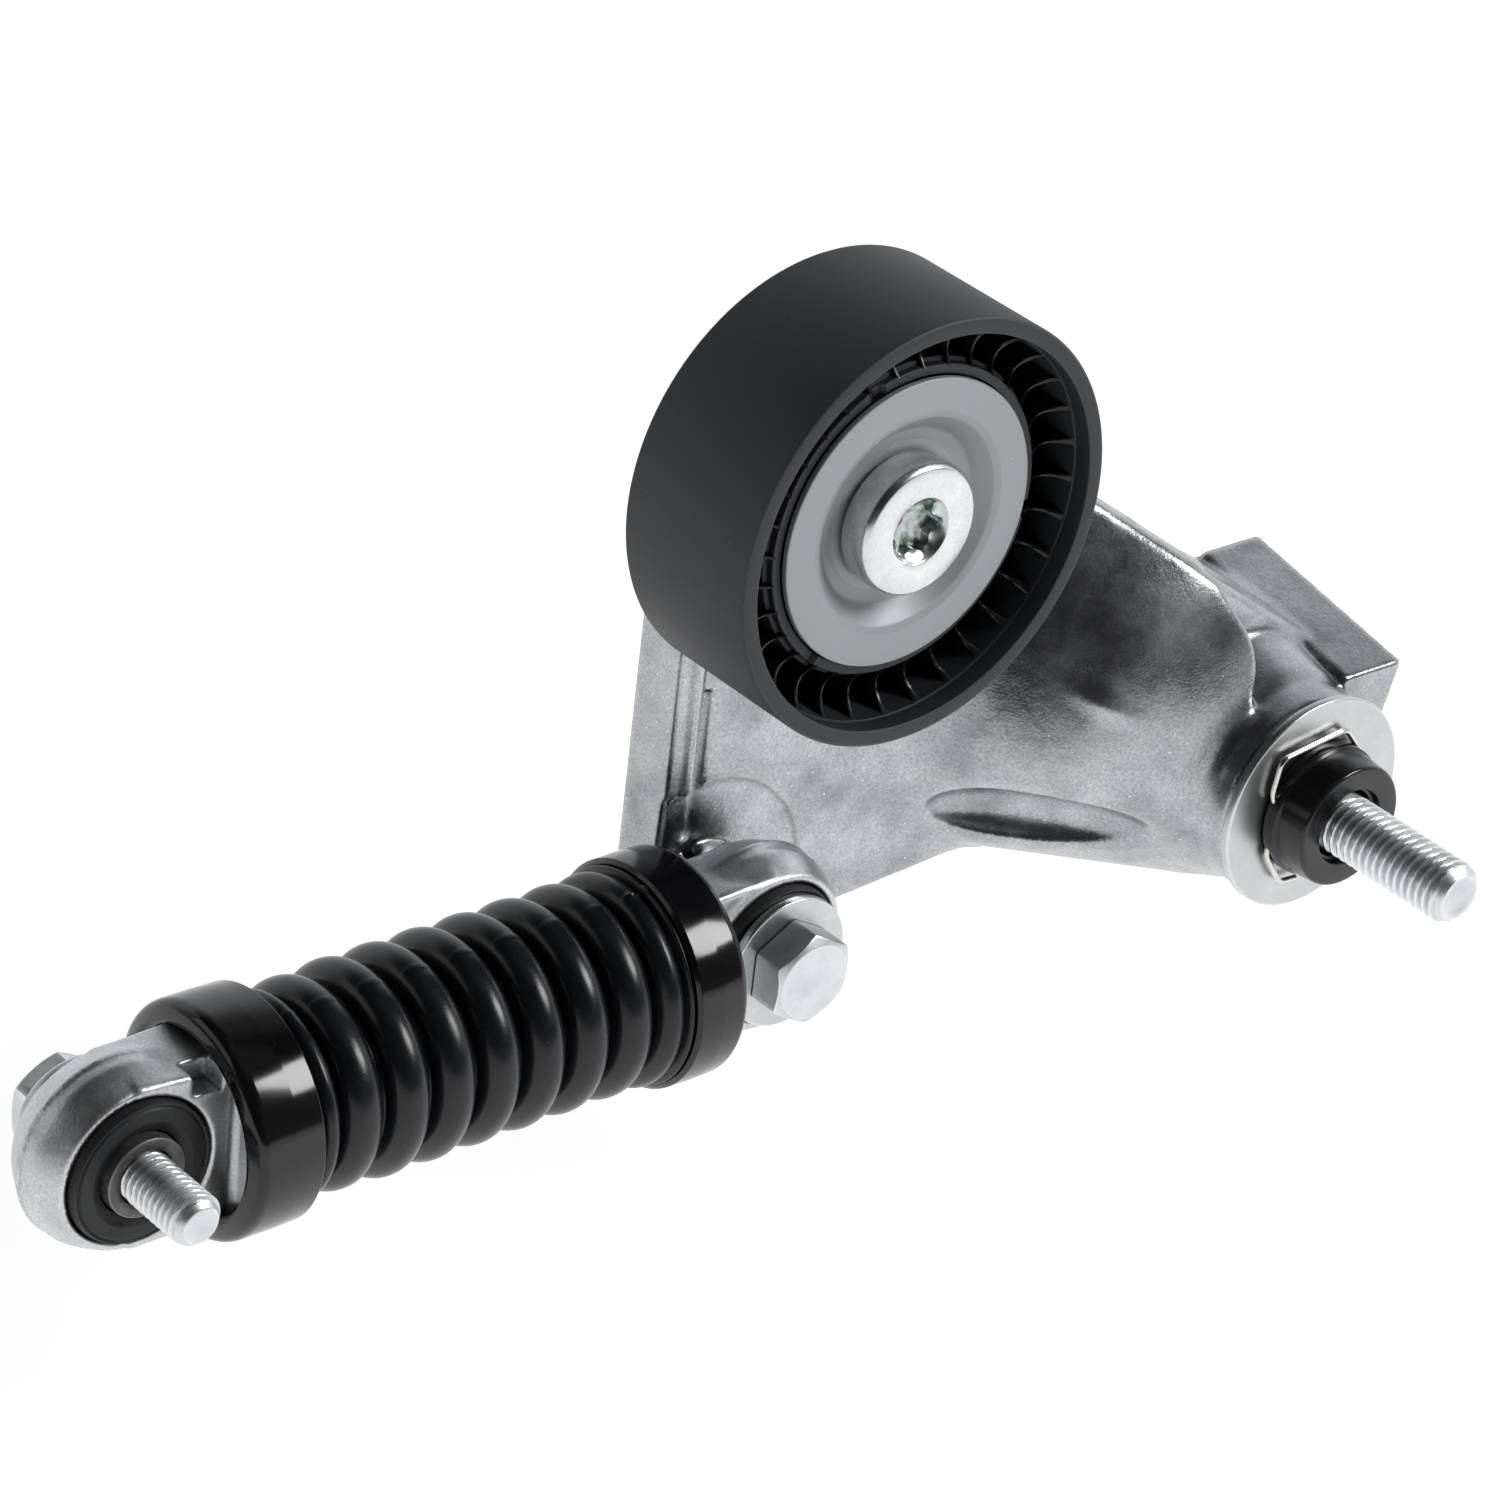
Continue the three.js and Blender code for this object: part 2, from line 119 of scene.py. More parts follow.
@dataclass(frozen=True)
class NodeGroups:
    """Shader node groups that every finish shares."""

    @staticmethod
    def _sockets(tree: bpy.types.NodeTree, inputs: dict[str, tuple[str, float]], outputs: list[str]) -> None:
        """Add the named inputs and outputs to a group.

        Args:
            tree: the group.
            inputs: for each input its socket type and its default.
            outputs: the names of the float outputs.
        """
        for name, (kind, default) in inputs.items():
            socket = tree.interface.new_socket(name, in_out="INPUT", socket_type=kind)
            if kind == "NodeSocketFloat":
                socket.default_value = default
        for name in outputs:
            tree.interface.new_socket(name, in_out="OUTPUT", socket_type="NodeSocketFloat")

    @staticmethod
    def skin() -> bpy.types.NodeTree:
        """Build the surface group: slow blotches, fine grain, sparse specks and scuffs.

        Returns:
            A group that puts out Blotch, Grain, Speck and Scuff, each between 0 and 1.
        """
        found = bpy.data.node_groups.get("surface_skin")
        if found:
            return found
        tree = bpy.data.node_groups.new("surface_skin", "ShaderNodeTree")
        vector = ("NodeSocketVector", 0.0)
        NodeGroups._sockets(
            tree,
            {"Vector": vector, "Blotch Scale": ("NodeSocketFloat", 60.0),
             "Grain Scale": ("NodeSocketFloat", 900.0), "Speck Scale": ("NodeSocketFloat", 500.0),
             "Speck Amount": ("NodeSocketFloat", 0.1)},
            ["Blotch", "Grain", "Speck", "Scuff"],
        )
        nodes, links = tree.nodes, tree.links
        enter, leave = nodes.new("NodeGroupInput"), nodes.new("NodeGroupOutput")
        blotch = nodes.new("ShaderNodeTexNoise")
        blotch.inputs["Detail"].default_value = 5.0
        blotch.inputs["Roughness"].default_value = 0.62
        stretch = nodes.new("ShaderNodeMapRange")
        stretch.inputs["From Min"].default_value = 0.3
        stretch.inputs["From Max"].default_value = 0.7
        grain = nodes.new("ShaderNodeTexNoise")
        grain.inputs["Detail"].default_value = 3.0
        grain.inputs["Roughness"].default_value = 0.7
        cells = nodes.new("ShaderNodeTexVoronoi")
        speck = nodes.new("ShaderNodeMath")
        speck.operation = "LESS_THAN"
        marks = nodes.new("ShaderNodeTexNoise")
        marks.inputs["Scale"].default_value = 260.0
        marks.inputs["Detail"].default_value = 6.0
        marks.inputs["Roughness"].default_value = 0.75
        patch = nodes.new("ShaderNodeMapRange")
        patch.inputs["From Min"].default_value = 0.58
        patch.inputs["From Max"].default_value = 0.68
        for target, source in (
            (blotch.inputs["Vector"], enter.outputs["Vector"]),
            (blotch.inputs["Scale"], enter.outputs["Blotch Scale"]),
            (grain.inputs["Vector"], enter.outputs["Vector"]),
            (grain.inputs["Scale"], enter.outputs["Grain Scale"]),
            (cells.inputs["Vector"], enter.outputs["Vector"]),
            (cells.inputs["Scale"], enter.outputs["Speck Scale"]),
            (speck.inputs[0], cells.outputs["Distance"]),
            (speck.inputs[1], enter.outputs["Speck Amount"]),
            (marks.inputs["Vector"], enter.outputs["Vector"]),
            (patch.inputs["Value"], marks.outputs["Fac"]),
            (stretch.inputs["Value"], blotch.outputs["Fac"]),
            (leave.inputs["Blotch"], stretch.outputs["Result"]),
            (leave.inputs["Grain"], grain.outputs["Fac"]),
            (leave.inputs["Speck"], speck.outputs["Value"]),
            (leave.inputs["Scuff"], patch.outputs["Result"]),
        ):
            links.new(source, target)
        return tree

    @staticmethod
    def wear_and_painted_light() -> bpy.types.NodeTree:
        """Build the group of worn edges with a painted edge highlight, and painted shade in hollows: the
        mesh's own edge and hollow masks, broken up by grain.

        Returns:
            A group that puts out two masks: one for edges, lightened partly by real wear and partly as a
                painted highlight, and one for hollows, darkened as painted shade.
        """
        found = bpy.data.node_groups.get("edge_wear_and_painted_light")
        if found:
            return found
        tree = bpy.data.node_groups.new("edge_wear_and_painted_light", "ShaderNodeTree")
        NodeGroups._sockets(
            tree,
            {"Break Up": ("NodeSocketFloat", 0.5), "Edge Gain": ("NodeSocketFloat", 1.0),
             "Hollow Gain": ("NodeSocketFloat", 1.0)},
            ["Worn And Edge Highlight", "Painted Hollow Shade"],
        )
        nodes, links = tree.nodes, tree.links
        enter, leave = nodes.new("NodeGroupInput"), nodes.new("NodeGroupOutput")
        # edge mask: worn edges, partly a painted highlight; hollow mask: painted shade in hollows
        for name, gain, out in (("edge", "Edge Gain", "Worn And Edge Highlight"), ("hollow", "Hollow Gain", "Painted Hollow Shade")):
            mask = nodes.new("ShaderNodeAttribute")
            mask.attribute_name = name
            raised = nodes.new("ShaderNodeMath")
            raised.operation = "MULTIPLY"
            broken = nodes.new("ShaderNodeMath")
            broken.operation = "MULTIPLY"
            broken.use_clamp = True
            links.new(mask.outputs["Fac"], raised.inputs[0])
            links.new(enter.outputs[gain], raised.inputs[1])
            links.new(raised.outputs["Value"], broken.inputs[0])
            links.new(enter.outputs["Break Up"], broken.inputs[1])
            links.new(broken.outputs["Value"], leave.inputs[out])
        return tree


# ---------------------------------------------------------------- finishes


@dataclass(frozen=True)
class Finish:
    """One surface finish: a colour pair, its gloss, its texture, how it wears, a painted highlight on its
    edges and painted shade in its hollows.
    """

    name: str
    slot: Slot
    base: Colour
    tint: Colour
    worn_and_highlight: Colour
    roughness: float
    metallic: float = 0.0
    spread: float = 0.1
    grain_spread: float = 0.0
    worn_gloss: float = 0.1
    blotch_scale: float = 60.0
    grain_scale: float = 900.0
    bump: float = 0.15
    bump_distance: float = 0.0002
    speck: float = 0.0
    speck_scale: float = 500.0
    speck_colour: Colour = (0.5, 0.5, 0.5)
    # edge_gain sets the edge lightening, partly a painted highlight; hollow_gain sets the painted shade in
    # hollows
    edge_gain: float = 1.0
    hollow_gain: float = 0.0
    scuff: float = 0.0
    pits: float = 0.0
    roll: float = 0.0
    coat: float = 0.0
    coat_roughness: float = 0.1
    specular: float = 0.5
    paint: Colour | None = None

    def build(self) -> bpy.types.Material:
        """Make the material once, or find it again.

        Returns:
            The material, whose patterns read Object coordinates.
        """
        found = bpy.data.materials.get(self.name)
        if found:
            return found
        material = bpy.data.materials.new(self.name)
        material.use_nodes = True
        nodes, links = material.node_tree.nodes, material.node_tree.links
        shader = nodes["Principled BSDF"]
        shader.inputs["Metallic"].default_value = self.metallic
        shader.inputs["Specular IOR Level"].default_value = self.specular
        if self.coat:
            shader.inputs["Coat Weight"].default_value = self.coat
            shader.inputs["Coat Roughness"].default_value = self.coat_roughness
        place = nodes.new("ShaderNodeTexCoord")
        skin = nodes.new("ShaderNodeGroup")
        skin.node_tree = NodeGroups.skin()
        skin.inputs["Blotch Scale"].default_value = self.blotch_scale
        skin.inputs["Grain Scale"].default_value = self.grain_scale
        skin.inputs["Speck Scale"].default_value = self.speck_scale
        skin.inputs["Speck Amount"].default_value = self.speck
        links.new(place.outputs["Object"], skin.inputs["Vector"])
        wear_and_painted_light = nodes.new("ShaderNodeGroup")
        wear_and_painted_light.node_tree = NodeGroups.wear_and_painted_light()
        wear_and_painted_light.inputs["Edge Gain"].default_value = self.edge_gain
        wear_and_painted_light.inputs["Hollow Gain"].default_value = self.hollow_gain
        break_up = self._math(nodes, links, "MULTIPLY_ADD", skin.outputs["Grain"], 1.6, 0.1)
        links.new(break_up, wear_and_painted_light.inputs["Break Up"])

        colour = self._mix(nodes, links, skin.outputs["Blotch"], self.base, self.tint)
        # painted shade: hollows darkened towards 0.35 of the base colour
        colour = self._mix(nodes, links, wear_and_painted_light.outputs["Painted Hollow Shade"], colour, tuple(0.35 * c for c in self.base))
        # edges lightened towards the worn colour: partly real wear, partly a painted highlight
        colour = self._mix(nodes, links, wear_and_painted_light.outputs["Worn And Edge Highlight"], colour, self.worn_and_highlight)
        if self.scuff:
            marked = self._math(nodes, links, "MULTIPLY", skin.outputs["Scuff"], self.scuff)
            colour = self._mix(nodes, links, marked, colour, self.worn_and_highlight)
        if self.pits:
            pitted = self._math(nodes, links, "MULTIPLY_ADD", skin.outputs["Grain"], 5.0, -2.1, clamp=True)
            pitted = self._math(nodes, links, "MULTIPLY", pitted, self.pits)
            colour = self._mix(nodes, links, pitted, colour, tuple(0.45 * c for c in self.base))
        if self.speck:
            colour = self._mix(nodes, links, skin.outputs["Speck"], colour, self.speck_colour)
        if self.paint:
            daub = nodes.new("ShaderNodeAttribute")
            daub.attribute_name = "paint"
            patchy = self._math(nodes, links, "MULTIPLY_ADD", skin.outputs["Blotch"], 3.0, -1.5, clamp=True)
            patchy = self._math(nodes, links, "MULTIPLY", daub.outputs["Fac"], patchy)
            colour = self._mix(nodes, links, patchy, colour, self.paint)
        links.new(colour, shader.inputs["Base Color"])

        gloss = self._math(nodes, links, "MULTIPLY_ADD", skin.outputs["Blotch"], self.spread,
                           self.roughness - self.spread / 2)
        if self.grain_spread:
            speckled = self._math(nodes, links, "MULTIPLY", skin.outputs["Grain"], self.grain_spread)
            gloss = self._math(nodes, links, "ADD", gloss, speckled)
        polished = self._math(nodes, links, "MULTIPLY", wear_and_painted_light.outputs["Worn And Edge Highlight"], self.worn_gloss)
        gloss = self._math(nodes, links, "SUBTRACT", gloss, polished, clamp=True)
        links.new(gloss, shader.inputs["Roughness"])
        if self.bump:
            relief = nodes.new("ShaderNodeBump")
            relief.inputs["Strength"].default_value = self.bump
            relief.inputs["Distance"].default_value = self.bump_distance
            height = skin.outputs["Grain"]
            if self.roll:
                height = self._math(nodes, links, "MULTIPLY_ADD", skin.outputs["Blotch"], self.roll, height)
            links.new(height, relief.inputs["Height"])
            links.new(relief.outputs["Normal"], shader.inputs["Normal"])
        return material

    @staticmethod
    def _math(nodes: bpy.types.Nodes, links: bpy.types.NodeLinks, operation: str,
              *values: float | bpy.types.NodeSocket, clamp: bool = False) -> bpy.types.NodeSocket:
        """Add a Math node.

        Args:
            nodes: the tree's nodes.
            links: the tree's links.
            operation: what the node works out.
            values: a number or a socket for each input.
            clamp: whether the result is kept between 0 and 1.

        Returns:
            The node's output.
        """
        node = nodes.new("ShaderNodeMath")
        node.operation = operation
        node.use_clamp = clamp
        for socket, value in zip(node.inputs, values):
            if isinstance(value, (int, float)):
                socket.default_value = value
            else:
                links.new(value, socket)
        return node.outputs["Value"]

    @staticmethod
    def _mix(nodes: bpy.types.Nodes, links: bpy.types.NodeLinks, factor: bpy.types.NodeSocket,
             first: Colour | bpy.types.NodeSocket,
             second: Colour | bpy.types.NodeSocket) -> bpy.types.NodeSocket:
        """Add a colour Mix node.

        Args:
            nodes: the tree's nodes.
            links: the tree's links.
            factor: how much of the second colour there is.
            first: the first colour, or a socket.
            second: the second colour, or a socket.

        Returns:
            The node's output.
        """
        node = nodes.new("ShaderNodeMix")
        node.data_type = "RGBA"
        links.new(factor, node.inputs["Factor"])
        for socket, value in ((node.inputs["A"], first), (node.inputs["B"], second)):
            if isinstance(value, tuple):
                socket.default_value = (*value, 1.0)
            else:
                links.new(value, socket)
        return node.outputs["Result"]


# In the two casting finishes, hollow_gain darkens hollows as painted shade and edge_gain lightens edges,
# partly as a painted highlight
CAST = Finish("cast_skin", Slot.CAST, (0.30, 0.305, 0.32), (0.59, 0.60, 0.62), (0.80, 0.80, 0.79),
              0.22, metallic=0.96, spread=0.14, grain_spread=0.10, worn_gloss=0.04, blotch_scale=95.0,
              grain_scale=2400.0, bump=0.22, bump_distance=0.00014, edge_gain=0.3, hollow_gain=0.7,
              speck=0.07, speck_scale=420.0, speck_colour=(0.72, 0.72, 0.72), pits=0.38, roll=2.4)
EYE_CAST = Finish("eye_cast_skin", Slot.CAST, (0.50, 0.505, 0.52), (0.76, 0.77, 0.785), (0.86, 0.86, 0.86),
                  0.34, metallic=0.94, spread=0.16, grain_spread=0.12, worn_gloss=0.04, blotch_scale=130.0,
                  grain_scale=2600.0, bump=0.26, bump_distance=0.00014, edge_gain=0.35, hollow_gain=0.6,
                  speck=0.06, speck_scale=480.0, speck_colour=(0.78, 0.78, 0.78), pits=0.32, roll=2.0)
ZINC = Finish("zinc_plate", Slot.ZINC, (0.54, 0.56, 0.58), (0.70, 0.72, 0.735), (0.88, 0.88, 0.88),
              0.34, metallic=0.97, spread=0.10, grain_spread=0.1, blotch_scale=200.0, grain_scale=2200.0,
              bump=0.08, bump_distance=0.0001, edge_gain=0.7, scuff=0.3)
WASHER = Finish("washer_zinc", Slot.ZINC, (0.47, 0.485, 0.49), (0.60, 0.615, 0.62), (0.80, 0.80, 0.80),
                0.28, metallic=1.0, spread=0.12, grain_spread=0.12, blotch_scale=120.0, grain_scale=2600.0,
                bump=0.1, bump_distance=0.0001, edge_gain=0.6, scuff=0.25, pits=0.12)
SOCKET_ZINC = Finish("socket_zinc", Slot.ZINC, (0.47, 0.49, 0.50), (0.64, 0.66, 0.665),
                     (0.90, 0.90, 0.90), 0.24, metallic=1.0, spread=0.10, grain_spread=0.1,
                     blotch_scale=260.0, grain_scale=2200.0, bump=0.06, bump_distance=0.0001,
                     edge_gain=0.7, scuff=0.4, paint=(0.10, 0.20, 0.13))
WIRE = Finish("spring_wire", Slot.ZINC, (0.30, 0.285, 0.25), (0.44, 0.42, 0.38), (0.7, 0.69, 0.66), 0.26,
              metallic=1.0, spread=0.08, blotch_scale=300.0, grain_scale=2400.0, bump=0.03,
              bump_distance=0.0001)
STEEL = Finish("ground_steel", Slot.BEARING, (0.50, 0.51, 0.52), (0.60, 0.61, 0.62), (0.8, 0.8, 0.8), 0.28,
               metallic=1.0, spread=0.1, grain_spread=0.1, blotch_scale=150.0, grain_scale=2000.0,
               bump=0.05, bump_distance=0.0001)
WORN_SLEEVE = Finish("sleeve_face", Slot.BEARING, (0.035, 0.035, 0.035), (0.19, 0.185, 0.18),
                     (0.30, 0.30, 0.29), 0.5, metallic=0.5, spread=0.2, blotch_scale=380.0,
                     grain_scale=2400.0, bump=0.2, bump_distance=0.0001, pits=0.3)
CAP = Finish("cap_satin", Slot.CAP, (0.335, 0.35, 0.36), (0.36, 0.375, 0.385), (0.5, 0.51, 0.52), 0.47,
             metallic=0.35, spread=0.05, grain_spread=0.06, blotch_scale=40.0, grain_scale=3000.0,
             bump=0.05, bump_distance=0.00006, edge_gain=0.25, speck=0.035, speck_scale=330.0,
             speck_colour=(0.55, 0.56, 0.57))
TREAD = Finish("pulley_plastic", Slot.PLASTIC, (0.0148, 0.0164, 0.0196), (0.0205, 0.0228, 0.0268),
               (0.07, 0.07, 0.075), 0.50, spread=0.08, grain_spread=0.12, blotch_scale=50.0,
               grain_scale=2600.0, bump=0.16, bump_distance=0.00008, speck=0.05, speck_scale=480.0,
               speck_colour=(0.07, 0.073, 0.077), edge_gain=0.5, specular=0.45)
# the lighter colour on the rib edges is a painted highlight
RIB_PLASTIC = Finish("rib_plastic", Slot.PLASTIC, (0.0045, 0.0048, 0.0055), (0.007, 0.0075, 0.0085),
                     (0.03, 0.03, 0.032), 0.30, spread=0.08, blotch_scale=80.0, grain_scale=2600.0,
                     bump=0.08, bump_distance=0.00006, edge_gain=0.35, specular=0.4)
SLEEVE_PLASTIC = Finish("sleeve_plastic", Slot.PLASTIC, (0.004, 0.004, 0.0045), (0.007, 0.007, 0.0075),
                        (0.03, 0.03, 0.032), 0.20, spread=0.08, blotch_scale=120.0, grain_scale=2600.0,
                        bump=0.06, bump_distance=0.0001, speck=0.03, speck_scale=420.0,
                        speck_colour=(0.05, 0.05, 0.05), edge_gain=0.4)
BELLOWS_RUBBER = Finish("bellows_rubber", Slot.RUBBER, (0.0062, 0.0070, 0.0092), (0.0098, 0.0108, 0.0134),
                        (0.03, 0.03, 0.033), 0.24, spread=0.1, grain_spread=0.06, blotch_scale=120.0,
                        grain_scale=2400.0, bump=0.06, bump_distance=0.0001, speck=0.04,
                        speck_scale=420.0, speck_colour=(0.05, 0.05, 0.052), edge_gain=0.2, specular=0.42)
BUSH_RUBBER = Finish("bush_rubber", Slot.RUBBER, (0.011, 0.012, 0.0135), (0.020, 0.021, 0.023),
                     (0.05, 0.05, 0.052), 0.48, spread=0.12, grain_spread=0.1, blotch_scale=260.0,
                     grain_scale=2400.0, bump=0.14, bump_distance=0.0001, speck=0.05,
                     speck_scale=450.0, speck_colour=(0.08, 0.08, 0.08), edge_gain=0.5, specular=0.38)
COLLAR_GLOSS = Finish("collar_gloss", Slot.GLOSS, (0.004, 0.004, 0.005), (0.007, 0.007, 0.008),
                      (0.02, 0.02, 0.022), 0.125, spread=0.05, blotch_scale=90.0, grain_scale=2200.0,
                      bump=0.02, bump_distance=0.00006, speck=0.03, speck_scale=420.0,
                      speck_colour=(0.07, 0.07, 0.072), edge_gain=0.25)
BRONZE = Finish("bush_bronze", Slot.BRONZE, (0.42, 0.30, 0.15), (0.52, 0.38, 0.20), (0.7, 0.55, 0.35), 0.4,
                metallic=0.9, blotch_scale=180.0, grain_scale=2000.0)


# ---------------------------------------------------------------- mesh building


def put_mesh(name: str, points: Array, quads: Array, finish: Finish, body: str,
             nodes: tuple[str, ...] = (), sharp: float = 34.0,
             marks: dict[str, Array] | None = None) -> bpy.types.Object:
    """Turn a grid of points into a finished piece.

    Args:
        name: the piece's name.
        points: (n, 3) places in millimetres.
        quads: (m, 4) vertex numbers.
        finish: what it is made of.
        body: the CAD body that it rides on, or nothing for a piece that rides on no body.
        nodes: the CAD nodes that it stands for.
        sharp: the angle in degrees above which an edge stays sharp.
        marks: extra values for each vertex, by attribute name.

    Returns:
        The piece, at the origin, with its faces outwards.
    """
    points, quads, marks = weld(points, quads, marks or {})
    quads = outwards(points, quads)
    mesh = bpy.data.meshes.new(name)
    double = quads[:, 0] == quads[:, 3]
    loops = np.where(np.repeat(double, 4).reshape(-1, 4) & (np.arange(4) == 3), -1, quads).ravel()
    totals = np.where(double, 3, 4)
    loops = loops[loops >= 0]
    mesh.vertices.add(len(points))
    mesh.vertices.foreach_set("co", (points * MM).astype(np.float32).ravel())
    mesh.loops.add(len(loops))
    mesh.loops.foreach_set("vertex_index", loops.astype(np.int32))
    mesh.polygons.add(len(totals))
    starts = np.concatenate([[0], np.cumsum(totals)[:-1]])
    mesh.polygons.foreach_set("loop_start", starts.astype(np.int32))
    mesh.polygons.foreach_set("use_smooth", np.ones(len(totals), bool))
    mesh.update(calc_edges=True)
    mesh.validate()
    mesh.set_sharp_from_angle(angle=math.radians(sharp))
    for key, values in {**bend_masks(mesh), **marks}.items():
        mesh.attributes.new(key, "FLOAT", "POINT").data.foreach_set("value", values.astype(np.float32))
    mesh.materials.append(finish.build())
    piece = bpy.data.objects.new(name, mesh)
    bpy.context.scene.collection.objects.link(piece)
    if body:
        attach(piece, body)
    if nodes:
        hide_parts(*nodes)
    log.info("%s: %d vertices, %d faces", name, len(points), len(totals))
    return piece


def weld(points: Array, quads: Array, marks: dict[str, Array]) -> tuple[Array, Array, dict[str, Array]]:
    """Join points that share a place, and drop the faces that vanish.

    A quad that loses one corner becomes a triangle, written with its last corner equal to its first.

    Args:
        points: (n, 3) places.
        quads: (m, 4) vertex numbers.
        marks: values for each vertex.

    Returns:
        The joined points, faces and values.
    """
    keys = np.round(points / WELD).astype(np.int64)
    _, first, inverse = np.unique(keys, axis=0, return_index=True, return_inverse=True)
    quads = inverse.reshape(-1)[quads]
    same = quads == np.roll(quads, -1, axis=1)
    quads = quads[same.sum(axis=1) < 2]
    same = quads == np.roll(quads, -1, axis=1)
    turn = np.where(same.any(axis=1), same.argmax(axis=1) + 1, 0)
    quads = np.take_along_axis(quads, (np.arange(4)[None, :] + turn[:, None]) % 4, axis=1)
    keep = (quads[:, 0] != quads[:, 2]) & (quads[:, 1] != quads[:, 3])
    return points[first], quads[keep], {key: values[first] for key, values in marks.items()}


def outwards(points: Array, quads: Array) -> Array:
    """Turn the faces round if they enclose a negative volume.

    The volume is the sum of a . (b x c) over both halves of each quad.

    Args:
        points: (n, 3) places.
        quads: (m, 4) vertex numbers.

    Returns:
        The faces, turned outwards.
    """
    a, b, c, d = (points[quads[:, i]] for i in range(4))
    volume = np.einsum("ij,ij->i", a, np.cross(b, c)).sum() + np.einsum("ij,ij->i", a, np.cross(c, d)).sum()
    if volume >= 0:
        return quads
    return np.where((quads[:, 0] == quads[:, 3])[:, None], quads[:, [0, 2, 1, 0]], quads[:, ::-1])


def bend_masks(mesh: bpy.types.Mesh) -> dict[str, Array]:
    """Measure how a mesh bends at each vertex.

    The bend is the mean over neighbours of (neighbour - vertex) . normal / distance squared: negative
    on an edge and positive in a hollow.

    Args:
        mesh: the finished mesh, in metres.

    Returns:
        The masks edge and hollow, each between 0 and 1, full at a bend of 1 per millimetre.
    """
    count = len(mesh.vertices)
    place, normal = np.empty(count * 3, np.float32), np.empty(count * 3, np.float32)
    mesh.vertices.foreach_get("co", place)
    mesh.vertices.foreach_get("normal", normal)
    place, normal = place.reshape(-1, 3) / MM, normal.reshape(-1, 3)
    ends = np.empty(len(mesh.edges) * 2, np.int32)
    mesh.edges.foreach_get("vertices", ends)
    a, b = ends.reshape(-1, 2).T
    step = place[b] - place[a]
    reach = np.maximum(np.einsum("ij,ij->i", step, step), 0.02)
    total = np.bincount(a, np.einsum("ij,ij->i", step, normal[a]) / reach, count)
    total += np.bincount(b, -np.einsum("ij,ij->i", step, normal[b]) / reach, count)
    bend = total / np.maximum(np.bincount(a, minlength=count) + np.bincount(b, minlength=count), 1)
    return {"edge": np.clip(-bend * 2.0, 0, 1), "hollow": np.clip(bend * 2.0, 0, 1)}


def grid_faces(rows: int, columns: int, wrap_rows: bool = False, wrap_columns: bool = True) -> Array:
    """Number the quads of a grid of points.

    Args:
        rows: how many rows of points there are.
        columns: how many points a row has.
        wrap_rows: whether the last row joins the first.
        wrap_columns: whether the last column joins the first.

    Returns:
        (m, 4) vertex numbers.
    """
    i = np.arange(rows if wrap_rows else rows - 1)[:, None]
    j = np.arange(columns if wrap_columns else columns - 1)[None, :]
    i2, j2 = (i + 1) % rows, (j + 1) % columns
    corners = (i * columns + j, i2 * columns + j, i2 * columns + j2, i * columns + j2)
    return np.stack([np.broadcast_to(c, (i.size, j.size)) for c in corners], -1).reshape(-1, 4)


def fillet(profile: list[tuple[float, float, float]], steps: int = 5, closed: bool = True) -> Array:
    """Round the corners of a profile.

    Args:
        profile: (radius, station, rounding) corners, where rounding is a fillet radius.
        steps: how many steps a fillet takes.
        closed: whether the last corner joins the first.

    Returns:
        (n, 2) points; each fillet is a quadratic curve between its two tangent points.
    """
    out: list[Array] = []
    count = len(profile)
    for i, (r, s, size) in enumerate(profile):
        here = np.array([r, s], float)
        if size <= 0 or (not closed and i in (0, count - 1)):
            out.append(here[None, :])
            continue
        before = np.array(profile[i - 1][:2], float) - here
        after = np.array(profile[(i + 1) % count][:2], float) - here
        lengths = np.linalg.norm(before), np.linalg.norm(after)
        bend = math.acos(np.clip(before @ after / (lengths[0] * lengths[1]), -1, 1))
        reach = min(size / max(math.tan(bend / 2), 0.05), 0.49 * min(lengths))
        start, end = here + before / lengths[0] * reach, here + after / lengths[1] * reach
        t = np.linspace(0, 1, steps + 1)[:, None]
        out.append(start * (1 - t) ** 2 + here * 2 * t * (1 - t) + end * t**2)
    return np.concatenate(out)


def around(radii: Array, stations: Array, axis: Axis, centre: tuple[float, float]) -> Array:
    """Carry a radius round an axis.

    Args:
        radii: (rows, columns) radius at each row and angle.
        stations: (rows,) place along the axis of each row.
        axis: the direction of the axis.
        centre: where the axis crosses its plane: (x, z) for Y and (y, z) for X.

    Returns:
        (rows * columns, 3) points: centre + radius * (cos angle, sin angle).
    """
    angle = np.linspace(0, 2 * np.pi, radii.shape[1], endpoint=False)[None, :]
    across, up = centre[0] + radii * np.cos(angle), centre[1] + radii * np.sin(angle)
    along = np.broadcast_to(np.asarray(stations, float).reshape(len(radii), -1), radii.shape)
    order = (across, along, up) if axis is Axis.ALONG_Y else (along, across, up)
    return np.stack(order, -1).reshape(-1, 3)


@dataclass(frozen=True)
class Ring:
    """A turned ring: a closed profile carried round an axis."""

    profile: list[tuple[float, float, float]]
    centre: tuple[float, float]
    axis: Axis = Axis.ALONG_Y
    segments: int = 128
    steps: int = 5

    def surface(self) -> tuple[Array, Array]:
        """Return the ring's points and faces."""
        line = fillet(self.profile, self.steps)
        radii = np.repeat(line[:, :1], self.segments, axis=1)
        return around(radii, line[:, 1], self.axis, self.centre), grid_faces(len(line), self.segments, True)


